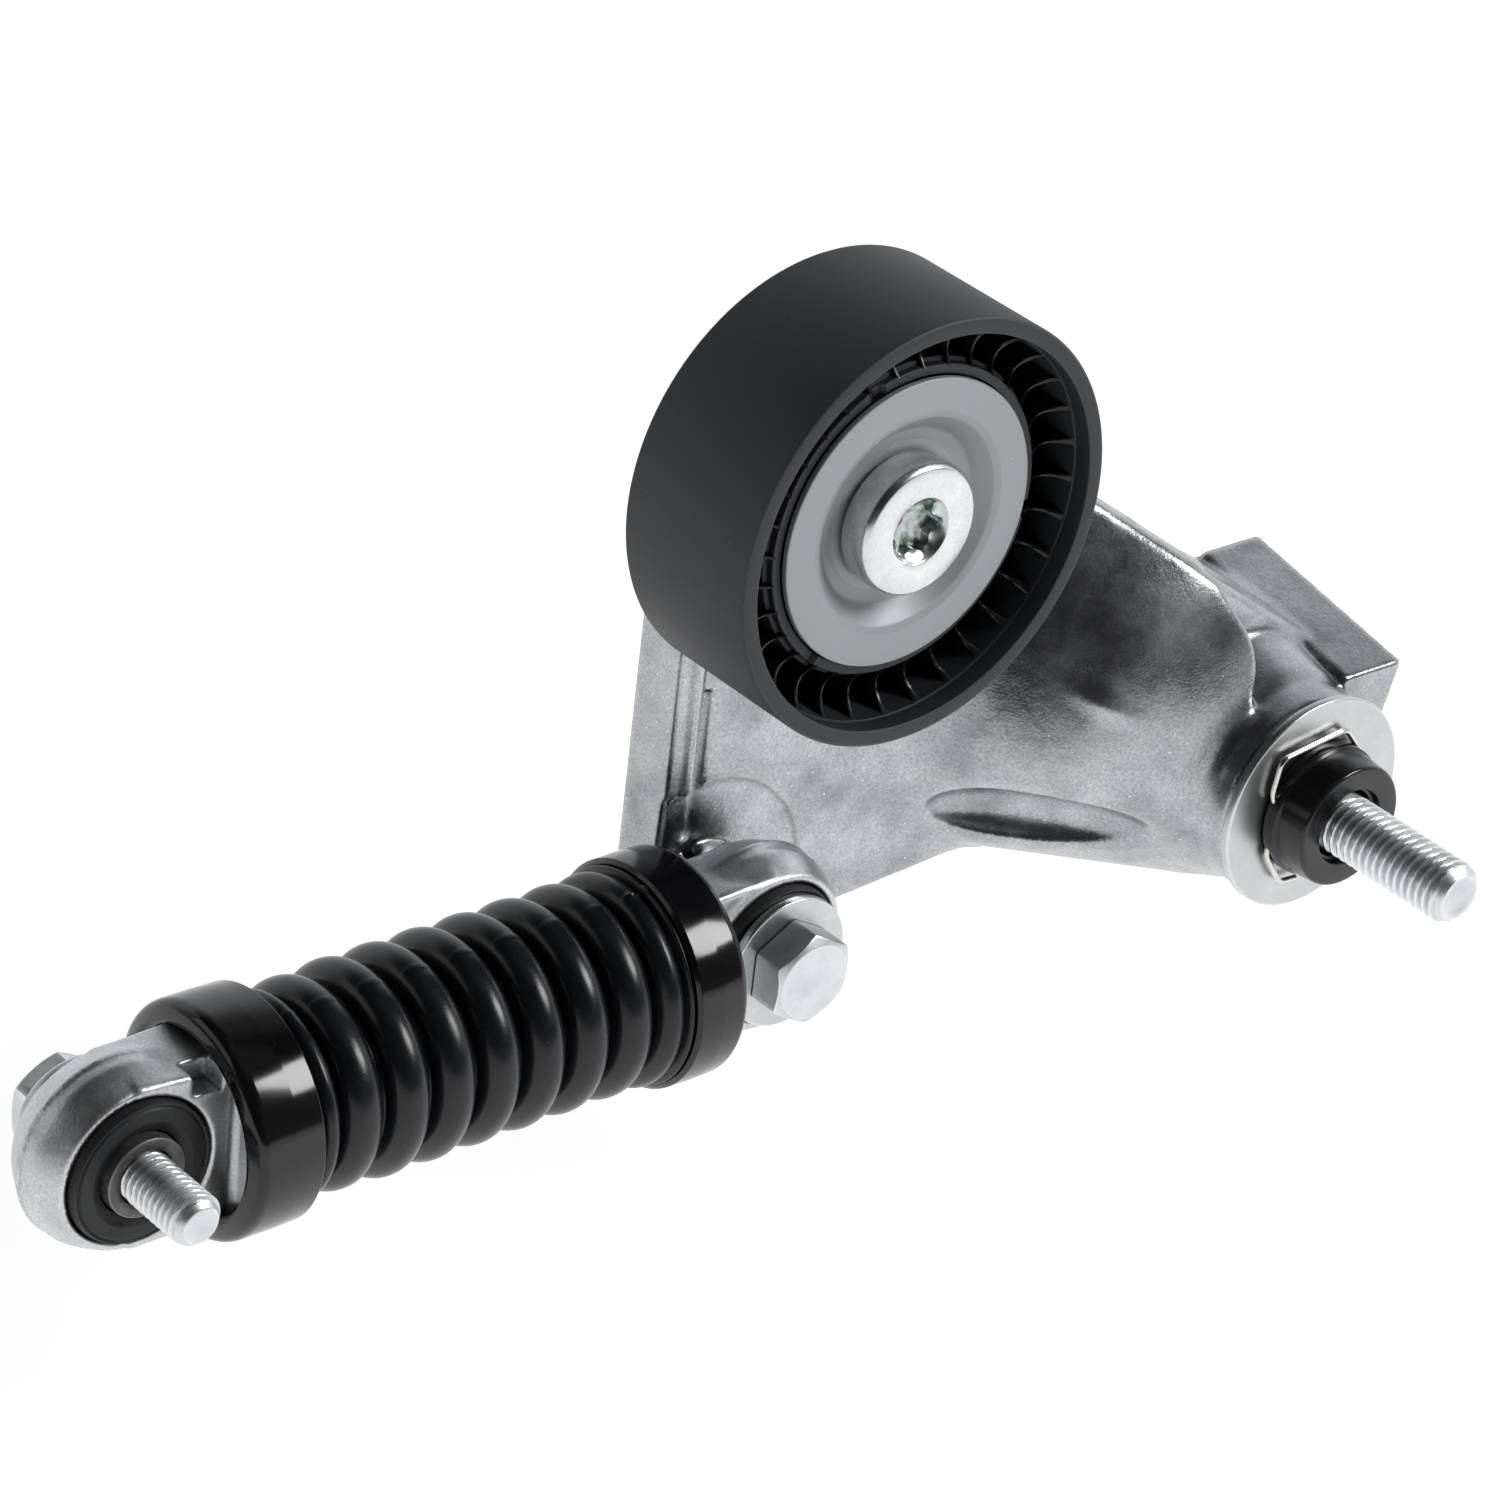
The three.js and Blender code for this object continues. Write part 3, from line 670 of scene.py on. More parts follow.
@dataclass(frozen=True)
class Thread:
    """A rolled screw thread on a stud, in stations along the stud."""

    pitch: float
    start: float
    end: float

    @property
    def depth(self) -> float:
        """The depth from crest to root, 0.6134 of the pitch."""
        return 0.6134 * self.pitch

    def cut(self, stations: Array, angles: Array) -> Array:
        """Measure how deep the thread cuts.

        The phase is (station / pitch - angle / turn), and the cut is the depth times a rounded vee of it. It
        fades in over three quarters of a pitch at either end.

        Args:
            stations: (rows,) places along the stud.
            angles: (columns,) angles round it.

        Returns:
            (rows, columns) depths.
        """
        phase = (stations[:, None] / self.pitch - angles[None, :] / (2 * np.pi)) % 1.0
        vee = np.clip((np.abs(2 * phase - 1) - 0.12) / 0.74, 0, 1)
        vee = 0.45 * vee + 0.55 * vee * vee * (3 - 2 * vee)
        fade = np.clip((stations - self.start) / (0.75 * self.pitch), 0, 1)
        fade *= np.clip((self.end - stations) / (0.75 * self.pitch), 0, 1)
        return self.depth * vee * fade[:, None]


@dataclass(frozen=True)
class Screw:
    """A bolt: a stack of rows, each round, hexagonal or lobed, with a thread cut into its shank."""

    rows: list[tuple[float, float, str]]
    centre: tuple[float, float]
    thread: Thread
    flats: float = 15.0
    lobe: tuple[float, float] = (3.85, 0.62)
    segments: int = 96

    def surface(self) -> tuple[Array, Array]:
        """Turn the rows into the bolt's surface.

        Each row is (radius, station, shape). A round row keeps its radius, a hexagonal row takes the
        lesser of its radius and the hexagon's, flats / 2 / cos(angle from the flat's middle), and a
        lobed row takes mean + swing * cos(6 angle), no more than its radius.

        Returns:
            Points and quads.
        """
        angle = np.linspace(0, 2 * np.pi, self.segments, endpoint=False)
        hexagon = self.flats / 2 / np.cos((angle + np.pi / 6) % (np.pi / 3) - np.pi / 6)
        hexagon = np.minimum(hexagon, 0.985 * self.flats / math.sqrt(3))
        lobes = self.lobe[0] + self.lobe[1] * np.cos(6 * angle)
        outlines = {"round": np.full(self.segments, 1e9), "hex": hexagon, "lobe": lobes}
        radius, station, shape = zip(*self._dense())
        radius, station = np.array(radius, float), np.array(station, float)
        radii = np.minimum(radius[:, None], np.stack([outlines[s] for s in shape]))
        threaded = np.array([s == "round" for s in shape]) & (radius > 0.5)
        cut = self.thread.cut(station, angle) * threaded[:, None]
        full = radius.max() if not threaded.any() else self._shank()
        radii = np.minimum(radii, np.where(cut > 0, np.maximum(full - cut, 0.1), 1e9))
        return around(radii, station, Axis.ALONG_Y, self.centre), grid_faces(len(radii), self.segments)

    def _shank(self) -> float:
        """The shank's radius: the radius of the first row inside the threaded stretch."""
        inside = [r for r, s, _ in self.rows if self.thread.start <= s <= self.thread.end]
        return max(inside)

    def _dense(self) -> list[tuple[float, float, str]]:
        """Add rows along the threaded stretch, twelve to a pitch.

        Returns:
            The rows.
        """
        out: list[tuple[float, float, str]] = []
        for first, second in zip(self.rows, self.rows[1:] + self.rows[-1:]):
            out.append(first)
            low, high = sorted((first[1], second[1]))
            inside = low < self.thread.end and high > self.thread.start
            if inside and first[2] == second[2] == "round" and high - low > 0.4:
                count = int((high - low) / self.thread.pitch * 12) + 1
                mix = np.linspace(0, 1, count + 1)[1:-1]
                out += [(first[0] * (1 - t) + second[0] * t, first[1] * (1 - t) + second[1] * t, "round")
                        for t in mix]
        return out


def hex_head(crown: float, seat: float, flats: float, skirt: float) -> list[tuple[float, float, str]]:
    """List the rows of a hexagon head with a chamfered crown, from the crown's middle to the seat.

    Args:
        crown: station of the crown's face.
        seat: station where the skirt meets the washer.
        flats: width across flats.
        skirt: radius of the round skirt under the hexagon, or 0 for none.

    Returns:
        The rows. The chamfer is a cone of 30 degrees, cut by the hexagon.
    """
    way = math.copysign(1.0, seat - crown)
    corner = flats / math.sqrt(3)
    start = 0.455 * flats
    rows = [(0.0, crown, "round"), (start - 0.25, crown, "hex"), (start, crown + way * 0.06, "hex")]
    rows += [(start + t, crown + way * (0.06 + t * 0.56), "hex")
             for t in np.linspace(0.15, corner - start + 0.1, 12)]
    rows += [(corner, crown + way * 3.4, "hex"), (corner, seat - way * (1.9 if skirt else 0.15), "hex")]
    if skirt:
        rows += [(skirt - 0.9, seat - way * 1.75, "round"), (skirt, seat - way * 1.1, "round"),
                 (skirt, seat - way * 0.1, "round"), (skirt - 0.1, seat, "round")]
    else:
        rows += [(0.46 * flats, seat, "round")]
    return rows


# ---------------------------------------------------------------- distance fields


def smooth_union(a: Array, b: Array, k: float) -> Array:
    """Join two distances with a fillet of about k: min(a, b) less (k - |a - b|) squared / 4k."""
    return np.minimum(a, b) - np.maximum(k - np.abs(a - b), 0) ** 2 / (4 * k)


def smooth_cut(a: Array, b: Array, k: float) -> Array:
    """Keep what is in a and not in b, with the rim rounded by about k."""
    return -smooth_union(-a, b, k)


def smooth_both(a: Array, b: Array, k: float) -> Array:
    """Keep what is in both a and b, with the rim rounded by about k."""
    return -smooth_union(-a, -b, k)


def polygon(corners: list[tuple[float, float]], u: Array, v: Array) -> Array:
    """Measure the signed distance to a closed outline.

    Each side gives its nearest point by projection, and crossings of a ray tell whether a place is in.

    Args:
        corners: the outline's corners.
        u: first coordinate of each place.
        v: second coordinate of each place.

    Returns:
        The distance, negative inside.
    """
    best = np.full(np.broadcast(u, v).shape, 1e9)
    inside = np.zeros(best.shape, bool)
    for (au, av), (bu, bv) in zip(corners, corners[1:] + corners[:1]):
        du, dv = bu - au, bv - av
        t = np.clip(((u - au) * du + (v - av) * dv) / (du * du + dv * dv), 0, 1)
        best = np.minimum(best, (u - au - t * du) ** 2 + (v - av - t * dv) ** 2)
        crossed = ((av > v) != (bv > v)) & (u < (bu - au) * (v - av) / (bv - av + 1e-12) + au)
        inside ^= crossed
    return np.sqrt(best) * np.where(inside, -1.0, 1.0)


def soften(corners: list[tuple[float, float]], times: int = 2) -> list[tuple[float, float]]:
    """Round an outline by cutting its corners at a quarter of each side, again and again.

    Args:
        corners: the outline's corners.
        times: how often the corners are cut.

    Returns:
        The new corners, twice as many after each cut.
    """
    line = np.array(corners, float)
    for _ in range(times):
        after = np.roll(line, -1, axis=0)
        line = np.stack([0.75 * line + 0.25 * after, 0.25 * line + 0.75 * after], 1).reshape(-1, 2)
    return [(float(u), float(v)) for u, v in line]


def slab(distance: Array, t: Array, low: float, high: float, k: float) -> Array:
    """Give an outline's distance a thickness from low to high along t, with edges rounded by k."""
    return smooth_both(distance, np.maximum(low - t, t - high), k)


def drum(u: Array, v: Array, t: Array, centre: tuple[float, float], radius: float,
         low: float, high: float, k: float = 0.8) -> Array:
    """Measure the distance to a cylinder with rounded edges.

    Args:
        u, v: coordinates across the cylinder.
        t: coordinate along it.
        centre: where its axis crosses u and v.
        radius: its radius.
        low: its lower end.
        high: its upper end.
        k: the rounding of its edges.

    Returns:
        The distance, negative inside.
    """
    return slab(np.hypot(u - centre[0], v - centre[1]) - radius, t, low, high, k)


def block(x: Array, y: Array, z: Array, centre: tuple[float, float, float],
          half: tuple[float, float, float], rounding: float) -> Array:
    """Measure the distance to a box with rounded edges.

    It is the length of what lies past the faces, or the depth under the nearest face.

    Args:
        x, y, z: coordinates of each place, in millimetres.
        centre: the box's middle.
        half: half its size each way.
        rounding: the radius of its edges.

    Returns:
        The distance, negative inside.
    """
    q = [np.abs(c - m) - h + rounding for c, m, h in zip((x, y, z), centre, half)]
    outer = np.sqrt(sum(np.maximum(c, 0) ** 2 for c in q))
    return outer + np.minimum(np.maximum(np.maximum(q[0], q[1]), q[2]), 0) - rounding


def egg(x: Array, y: Array, z: Array, centre: tuple[float, float, float],
        axes: Array, half: tuple[float, float, float]) -> Array:
    """Measure about how far it is to an ellipsoid.

    It is the length of the place in half sizes, less one, times the least half size.

    Args:
        x, y, z: coordinates of each place, in millimetres.
        centre: the ellipsoid's middle.
        axes: its axes, as the rows of a turning matrix.
        half: its half sizes along them.

    Returns:
        The distance, negative inside.
    """
    d = (x - centre[0], y - centre[1], z - centre[2])
    parts = [sum(axes[i][j] * d[j] for j in range(3)) / half[i] for i in range(3)]
    return (np.sqrt(sum(p * p for p in parts)) - 1) * min(half)


def frame_along(direction: tuple[float, float, float], side: tuple[float, float, float]) -> Array:
    """Turn a direction and a side into three unit rows.

    Args:
        direction: where the first row points.
        side: roughly where the second row points.

    Returns:
        (3, 3) rows: along direction, towards side, and square to both.
    """
    first = np.array(direction, float) / np.linalg.norm(direction)
    second = np.array(side, float) - first * (np.array(side, float) @ first)
    second /= np.linalg.norm(second)
    return np.stack([first, second, np.cross(first, second)])


def surface_net(shape: Field, low: tuple[float, float, float], high: tuple[float, float, float],
                step: float) -> tuple[Array, Array]:
    """Mesh the zero surface of a distance field.

    Each grid cell that the surface crosses gets one vertex, the mean of the crossings on its twelve
    edges; each grid edge that the surface crosses joins its four cells with a quad. Two Newton steps,
    p - f(p) grad f / |grad f| squared, then put the vertices on the surface.

    Args:
        shape: the field, negative inside.
        low: the grid's lowest corner.
        high: the grid's highest corner.
        step: the grid's pitch.

    Returns:
        Points and quads.
    """
    axes = [np.arange(a, b + step, step) for a, b in zip(low, high)]
    values = shape(axes[0][:, None, None], axes[1][None, :, None], axes[2][None, None, :])
    values = np.broadcast_to(values, tuple(len(a) for a in axes)).astype(np.float32)
    sign = values < 0
    offsets = np.array([(i, j, k) for i in (0, 1) for j in (0, 1) for k in (0, 1)])
    size = np.array(values.shape) - 1
    count = np.zeros(tuple(size), np.int8)
    for i, j, k in offsets:
        count += sign[i:i + size[0], j:j + size[1], k:k + size[2]]
    active = np.argwhere((count > 0) & (count < 8))
    corner = np.stack([values[tuple((active + o).T)] for o in offsets], 1)
    total, hits = np.zeros((len(active), 3)), np.zeros(len(active))
    for a in range(8):
        for b in range(a + 1, 8):
            if np.abs(offsets[a] - offsets[b]).sum() != 1:
                continue
            fa, fb = corner[:, a], corner[:, b]
            crosses = (fa < 0) != (fb < 0)
            t = np.where(crosses, fa / np.where(crosses, fa - fb, 1), 0)[:, None]
            total += (offsets[a] + t * (offsets[b] - offsets[a])) * crosses[:, None]
            hits += crosses
    points = (active + total / hits[:, None]) * step + np.array(low)
    number = np.full(tuple(size), -1, np.int64)
    number[tuple(active.T)] = np.arange(len(active))
    quads = []
    for axis in range(3):
        u, v = (axis + 1) % 3, (axis + 2) % 3
        first = np.take(sign, range(values.shape[axis] - 1), axis)
        second = np.take(sign, range(1, values.shape[axis]), axis)
        edge = np.argwhere(first != second)
        edge = edge[(edge[:, u] > 0) & (edge[:, v] > 0) & (edge[:, u] < size[u]) & (edge[:, v] < size[v])]
        leaving = first[tuple(edge.T)]
        around_edge = []
        for du, dv in ((0, 0), (-1, 0), (-1, -1), (0, -1)):
            cell = edge.copy()
            cell[:, u] += du
            cell[:, v] += dv
            around_edge.append(number[tuple(cell.T)])
        quad = np.stack(around_edge, 1)
        quads.append(np.where(leaving[:, None], quad, quad[:, ::-1]))
    for _ in range(2):
        points = onto(shape, points, step)
    return points, np.concatenate(quads)


def onto(shape: Field, points: Array, step: float) -> Array:
    """Move points one Newton step towards a field's surface, by no more than half a grid step.

    Args:
        shape: the field, negative inside.
        points: (n, 3) places.
        step: the grid's pitch.

    Returns:
        The moved points.
    """
    value = shape(*points.T)
    slope = np.stack([
        (shape(*(points + PROBE * e).T) - shape(*(points - PROBE * e).T)) / (2 * PROBE) for e in np.eye(3)
    ], 1)
    move = value / np.maximum(np.einsum("ij,ij->i", slope, slope), 0.05)
    return points - slope * np.clip(move, -0.5 * step, 0.5 * step)[:, None]


# ---------------------------------------------------------------- the sub-assemblies


@dataclass
class Pivot:
    """The bolt that holds the tensioner to the engine, with its washers, sleeve and wire clip."""

    tip: float = -31.5
    shank: float = 4.95
    washer: float = 17.6
    sleeve: float = 10.0
    sleeve_foot: float = -0.3
    sleeve_top: float = -8.2
    head_seat: float = 47.3

    def build(self) -> None:
        """Build every piece that stays with the engine."""
        self._bolt()
        self._washers()
        self._sleeve()
        self._clip()

    def _bolt(self) -> None:
        """The long stud: a cupped, chamfered tip, an M10 thread and a hexagon head at the back."""
        rows = [(0.0, self.tip + 0.55, "round"), (1.6, self.tip + 0.5, "round"),
                (2.7, self.tip + 0.12, "round"), (3.25, self.tip, "round"), (3.6, self.tip + 0.02, "round"),
                (3.95, self.tip + 0.3, "round"), (self.shank, self.tip + 1.5, "round"),
                (self.shank, 46.4, "round"), (self.shank, self.head_seat, "round")]
        head = hex_head(self.head_seat + 8.4, self.head_seat, 15.0, 10.4)
        screw = Screw(rows + head[::-1], (0, 0), Thread(1.5, self.tip, -3.0), flats=15.0)
        put_mesh("pivot_bolt_fine", *screw.surface(), ZINC, "pivot", ("pivot_bolt",))

    def _washers(self) -> None:
        """The thrust washer in front, with soft edges, and the one under the bolt's head."""
        front = Ring([(7.9, 0, 0.25), (self.washer, 0, 0.45), (self.washer, 1.4, 0.3), (7.9, 1.4, 0.2)],
                     (0, 0), segments=160)
        put_mesh("pivot_thrust_washer_fine", *front.surface(), WASHER, "pivot", ("pivot_thrust_washer",))
        rear = Ring([(5.25, 45.5, 0.2), (15.5, 45.5, 0.3), (15.5, 47, 0.4), (5.25, 47, 0.2)], (0, 0))
        put_mesh("pivot_rear_washer_fine", *rear.surface(), WASHER, "pivot", ("pivot_rear_washer",))

    def _sleeve(self) -> None:
        """The moulded retaining sleeve: a stepped bore and a rounded front rim."""
        foot, top, r = self.sleeve_foot, self.sleeve_top, self.sleeve
        ring = Ring([(5.65, foot, 0.1), (r + 0.6, foot, 0.1), (r + 0.9, foot - 0.5, 0.2),
                     (r + 0.8, foot - 2.4, 0.3), (r + 0.4, foot - 2.7, 0.2), (r, top, 0.7),
                     (6.3, top, 0.25), (6.1, top + 1.3, 0.2), (5.65, top + 1.5, 0.1)], (0, 0))
        put_mesh("bolt_retaining_sleeve_fine", *ring.surface(), SLEEVE_PLASTIC, "pivot",
                 ("bolt_retaining_sleeve",))

    def _clip(self) -> None:
        """The spring wire: a round wire bent at uneven corners, and let into the sleeve on its left."""
        bends = ((34, 9.3), (43.7, 10.6), (74.9, 13.0), (131.8, 14.4), (155, 11.7), (165, 9.6), (200, 9.6),
                 (209, 11.3), (243, 13.1), (259, 12.1))
        turn, reach = np.radians([t for t, _ in bends]), np.array([r for _, r in bends])
        ring = np.stack([reach * np.cos(turn), np.full(len(bends), -1.15), reach * np.sin(turn)], 1)
        put_mesh("retaining_clip_fine", *tube(soft_path(ring, 1.2), 0.46, 14), WIRE, "pivot",
                 ("retaining_clip",))


def soft_path(corners: Array, rounding: float, steps: int = 6) -> Array:
    """Round the inner corners of an open path with quadratic curves.

    Args:
        corners: (n, 3) corners of the path.
        rounding: how far from its corner a curve starts and ends.
        steps: how many steps a curve takes.

    Returns:
        (m, 3) places along the path.
    """
    out = [corners[:1]]
    for before, here, after in zip(corners, corners[1:], corners[2:]):
        a, b = before - here, after - here
        start = here + a / np.linalg.norm(a) * rounding
        end = here + b / np.linalg.norm(b) * rounding
        t = np.linspace(0, 1, steps + 1)[:, None]
        out.append(start * (1 - t) ** 2 + here * 2 * t * (1 - t) + end * t**2)
    return np.concatenate(out + [corners[-1:]])


def tube(line: Array, radius: float, sides: int) -> tuple[Array, Array]:
    """Carry a circle along a path and close its ends to points.

    Args:
        line: (n, 3) places.
        radius: the tube's radius.
        sides: points round the circle.

    Returns:
        Points and quads; at each place the circle lies square to the path, turned from the Y direction.
    """
    run = np.gradient(line, axis=0)
    run /= np.linalg.norm(run, axis=1)[:, None]
    hint = np.where(np.abs(run[:, 1:2]) < 0.9, [[0.0, 1.0, 0.0]], [[1.0, 0.0, 0.0]])
    side = np.cross(run, hint)
    side /= np.linalg.norm(side, axis=1)[:, None]
    up = np.cross(side, run)
    line = np.concatenate([line[:1], line[:1], line, line[-1:], line[-1:]])
    side, up = (np.concatenate([a[:1], a[:1], a, a[-1:], a[-1:]]) for a in (side, up))
    size = np.full(len(line), radius)
    size[[0, -1]] = 0
    size[[1, -2]] = radius
    angle = np.linspace(0, 2 * np.pi, sides, endpoint=False)[None, :, None]
    ring = side[:, None] * np.cos(angle) + up[:, None] * np.sin(angle)
    points = line[:, None] + size[:, None, None] * ring
    return points.reshape(-1, 3), grid_faces(len(line), sides)


@dataclass
class Arm:
    """The cast arm: a plate, a trumpet that flares from the hub, a lug, bosses and pockets."""

    front: float = 33.2
    back: float = 43.2
    hub: float = 16.8
    bore: float = 10.6
    bolt_hole: float = 5.25
    bolt_boss: float = 9.5
    pocket_floor: float = 37.4
    pulley: tuple[float, float] = (-85.1, 65.4)
    strut: tuple[float, float] = (-92.7, -6.4)
    step: float = 0.72
    outline: list[tuple[float, float]] = field(default_factory=lambda: [
        (-100.8, -18.6), (-64.5, -15.6), (-39.7, -13.9), (-16, -18.2), (-6.7, -19.8), (3, -21),
        (12.5, -17.2), (19.6, -9), (21.6, 0), (20.4, 7.5), (15.6, 15.4), (-21.7, 41.8), (-71.4, 76.6),
        (-78, 80.9), (-86, 82.9), (-94.4, 80.3), (-100.8, 72.8)])
    shell: list[tuple[float, float]] = field(default_factory=lambda: [
        (-70, -22), (-39.7, -20), (-14, -22), (-4, -18), (-4, 0), (-11, 11.5), (-8, 16.2), (-6.6, 23.7),
        (-10.3, 30.4), (-12.5, 36), (-60, 72), (-80, 72), (-80, 0)])
    web: list[tuple[float, float]] = field(default_factory=lambda: [
        (-14, 35.5), (13, 16.8), (17, 8), (12, 0), (-8, 8)])

    def build(self) -> None:
        """Mesh the casting from its distance field."""
        shape = surface_net(self.distance, (-103, 0.5, -23.5), (28, 46, 85.5), self.step)
        put_mesh("tensioner_arm_fine", *shape, CAST, "arm", ("tensioner_arm",), sharp=60.0)

    def flare(self, r: Array) -> Array:
        """Give the trumpet's station by a smooth curve through a table of radius and height.

        Each stretch is a cubic that meets its neighbours with the same slope.

        Args:
            r: distance from the hub's axis.

        Returns:
            The station of the trumpet's face along Y.
        """
        radii = np.array([0, 16, 20, 24, 28, 33, 37, 41, 45, 49, 53, 57, 62, 70, 200], float)
        heights = np.array([5.5, 6.4, 7.8, 9.2, 10.8, 13.2, 15.6, 19.0, 23.2, 27.2, 30.2, 32.2, 33.1,
                            33.2, 33.2])
        tangents = np.gradient(heights, radii)
        i = np.clip(np.searchsorted(radii, r) - 1, 0, len(radii) - 2)
        width = radii[i + 1] - radii[i]
        t = np.clip((r - radii[i]) / width, 0, 1)
        return (heights[i] * (1 + 2 * t) * (1 - t) ** 2 + heights[i + 1] * t * t * (3 - 2 * t)
                + width * (tangents[i] * t * (1 - t) ** 2 - tangents[i + 1] * t * t * (1 - t)))

    def distance(self, x: Array, y: Array, z: Array) -> Array:
        """Measure the distance to the casting: unions first, then the cuts.

        The trumpet has one low swelling, a bell curve along its slope at 151 degrees round the hub.

        Args:
            x, y, z: coordinates of each place, in millimetres.

        Returns:
            The distance, negative inside.
        """
        r = np.hypot(x, z)
        rim = polygon(self.outline, x, z)
        body = slab(rim, y, self.front, self.back, 1.2)
        shell = smooth_both(rim + 0.2, polygon(soften(self.shell), x, z), 1.6)
        across, along = 0.485 * x + 0.875 * z, 0.875 * x - 0.485 * z + 37
        swell = 0.5 * np.exp(-((across / 1.5) ** 2) - (along / 3.6) ** 2)
        rise = (self.flare(r) - swell - y) * 0.74
        bell = smooth_both(smooth_both(shell, rise, 1.6), y - self.back, 0.8)
        bell = smooth_both(bell, self._underside(x, y, z), 3.0)
        body = smooth_union(body, bell, 1.5)
        web = slab(polygon(self.web, x, z), y, 19.0, self.back, 2.0)
        body = smooth_union(body, web, 2.0)
        body = smooth_union(body, self._hub(r, y), 2.2)
        body = smooth_union(body, drum(x, z, y, self.pulley, 12, 27.6, 36, 0.6), 2.5)
        body = smooth_union(body, drum(x, z, y, self.strut, 8.5, 30.1, 36, 0.5), 1.5)
        body = smooth_union(body, self._lug(x, y, z), 1.6)
        body = smooth_union(body, self._bead(x, y, z), 0.5)
        return self._cuts(x, y, z, r, body)

    def _underside(self, x: Array, y: Array, z: Array) -> Array:
        """The slanted face under the trumpet: a plane through the lower edge, facing down and forward."""
        return -0.446 * (x + 40) - 0.611 * (y - 33.5) - 0.654 * (z + 14.2)

    def _hub(self, r: Array, y: Array) -> Array:
        """Measure the hub: a cylinder in front that widens to a cone at the back.

        Args:
            r: distance from the hub's axis.
            y: station along it.

        Returns:
            The distance, negative inside.
        """
        front = smooth_both(r - self.hub, np.maximum(1.8 - y, y - 44), 0.9)
        cone = (r - (17.0 + np.clip((y - 9) / 17, 0, 1) * 4.6)) * 0.95
        return smooth_union(front, smooth_both(cone, np.maximum(9.5 - y, y - 43), 2.0), 2.0)

    def _lug(self, x: Array, y: Array, z: Array) -> Array:
        """Measure the slanted bar on the right of the hub, whose top rises towards the back.

        Args:
            x, y, z: coordinates of each place, in millimetres.

        Returns:
            The distance, negative inside.
        """
        tilt = math.radians(10.5)
        along = (y - 26) * math.cos(tilt) + (z - 8.9) * math.sin(tilt)
        up = (z - 8.9) * math.cos(tilt) - (y - 26) * math.sin(tilt)
        return block(x, along, up, (18.6, 0.8, 0.6), (6.2, 17.2, 7.6), 0.8)

    def _bead(self, x: Array, y: Array, z: Array) -> Array:
        """Measure the sharp ridge along the plate's left edge, and the small nub on the plate.

        Args:
            x, y, z: coordinates of each place, in millimetres.

        Returns:
            The distance, negative inside.
        """
        beyond = np.maximum(np.abs(z - 24) - 34, 0)
        reach = np.sqrt((x + 97.4) ** 2 + (y - self.front - 0.1) ** 2 + beyond**2)
        nub = egg(x, y, z, (-71.5, self.front, 15.5), np.eye(3), (2.0, 0.9, 1.1))
        return np.minimum(reach - 0.95, nub)

    def _cuts(self, x: Array, y: Array, z: Array, r: Array, body: Array) -> Array:
        """Take away the bores, the pockets in the back, the pad's recess, the groove and the lower scoop.

        Args:
            x, y, z: coordinates of each place, in millimetres.
            r: distance from the hub's axis.
            body: distance to the uncut casting.

        Returns:
            The distance, negative inside.
        """
        pad = drum(x, z, y, self.strut, 18.9, 28, 33.75, 0.3)
        boss = drum(x, z, y, self.strut, 9.2, 29, 40, 0.3)
        body = smooth_cut(body, np.maximum(pad, -boss), 1.3)
        beyond = np.maximum(np.abs(z - 14) - 14, 0)
        groove = np.sqrt((x + 95.2) ** 2 + (y - self.front + 0.1) ** 2 + beyond**2)
        body = smooth_cut(body, groove - 1.0, 0.4)
        turn = frame_along((25.5, -17.5, -4.6), (-0.25, -0.75, 0.2))
        scoop = egg(x, y, z, (-37.5, 18.6, -4.6), turn, (19.2, 9.6, 7.0))
        body = smooth_cut(body, scoop, 1.3)
        body = smooth_cut(body, r - self.bore, 0.5)
        for centre in (self.pulley, self.strut):
            body = np.maximum(body, self.bolt_hole - np.hypot(x - centre[0], z - centre[1]))
        rooms = (
            [(-97.6, 4), (-97.6, 48), (-86, 52), (-60, 36), (-62, 8)],
            [(-80, -14.5), (-56, -11.5), (-59, 5), (-80, 4)],
            [(-57, 34), (-52, -10.5), (-41, -11), (-18, -14.5), (-10, 18)],
        )
        solid = np.minimum(np.hypot(x - self.pulley[0], z - self.pulley[1]) - self.bolt_boss,
                           np.hypot(x - self.strut[0], z - self.strut[1]) - self.bolt_boss)
        solid = np.minimum(solid, r - self.hub)
        for room in rooms:
            hollow = smooth_both(smooth_both(polygon(room, x, z), -solid, 1.5), self.pocket_floor - y, 1.2)
            body = smooth_cut(body, hollow, 0.8)
        return body


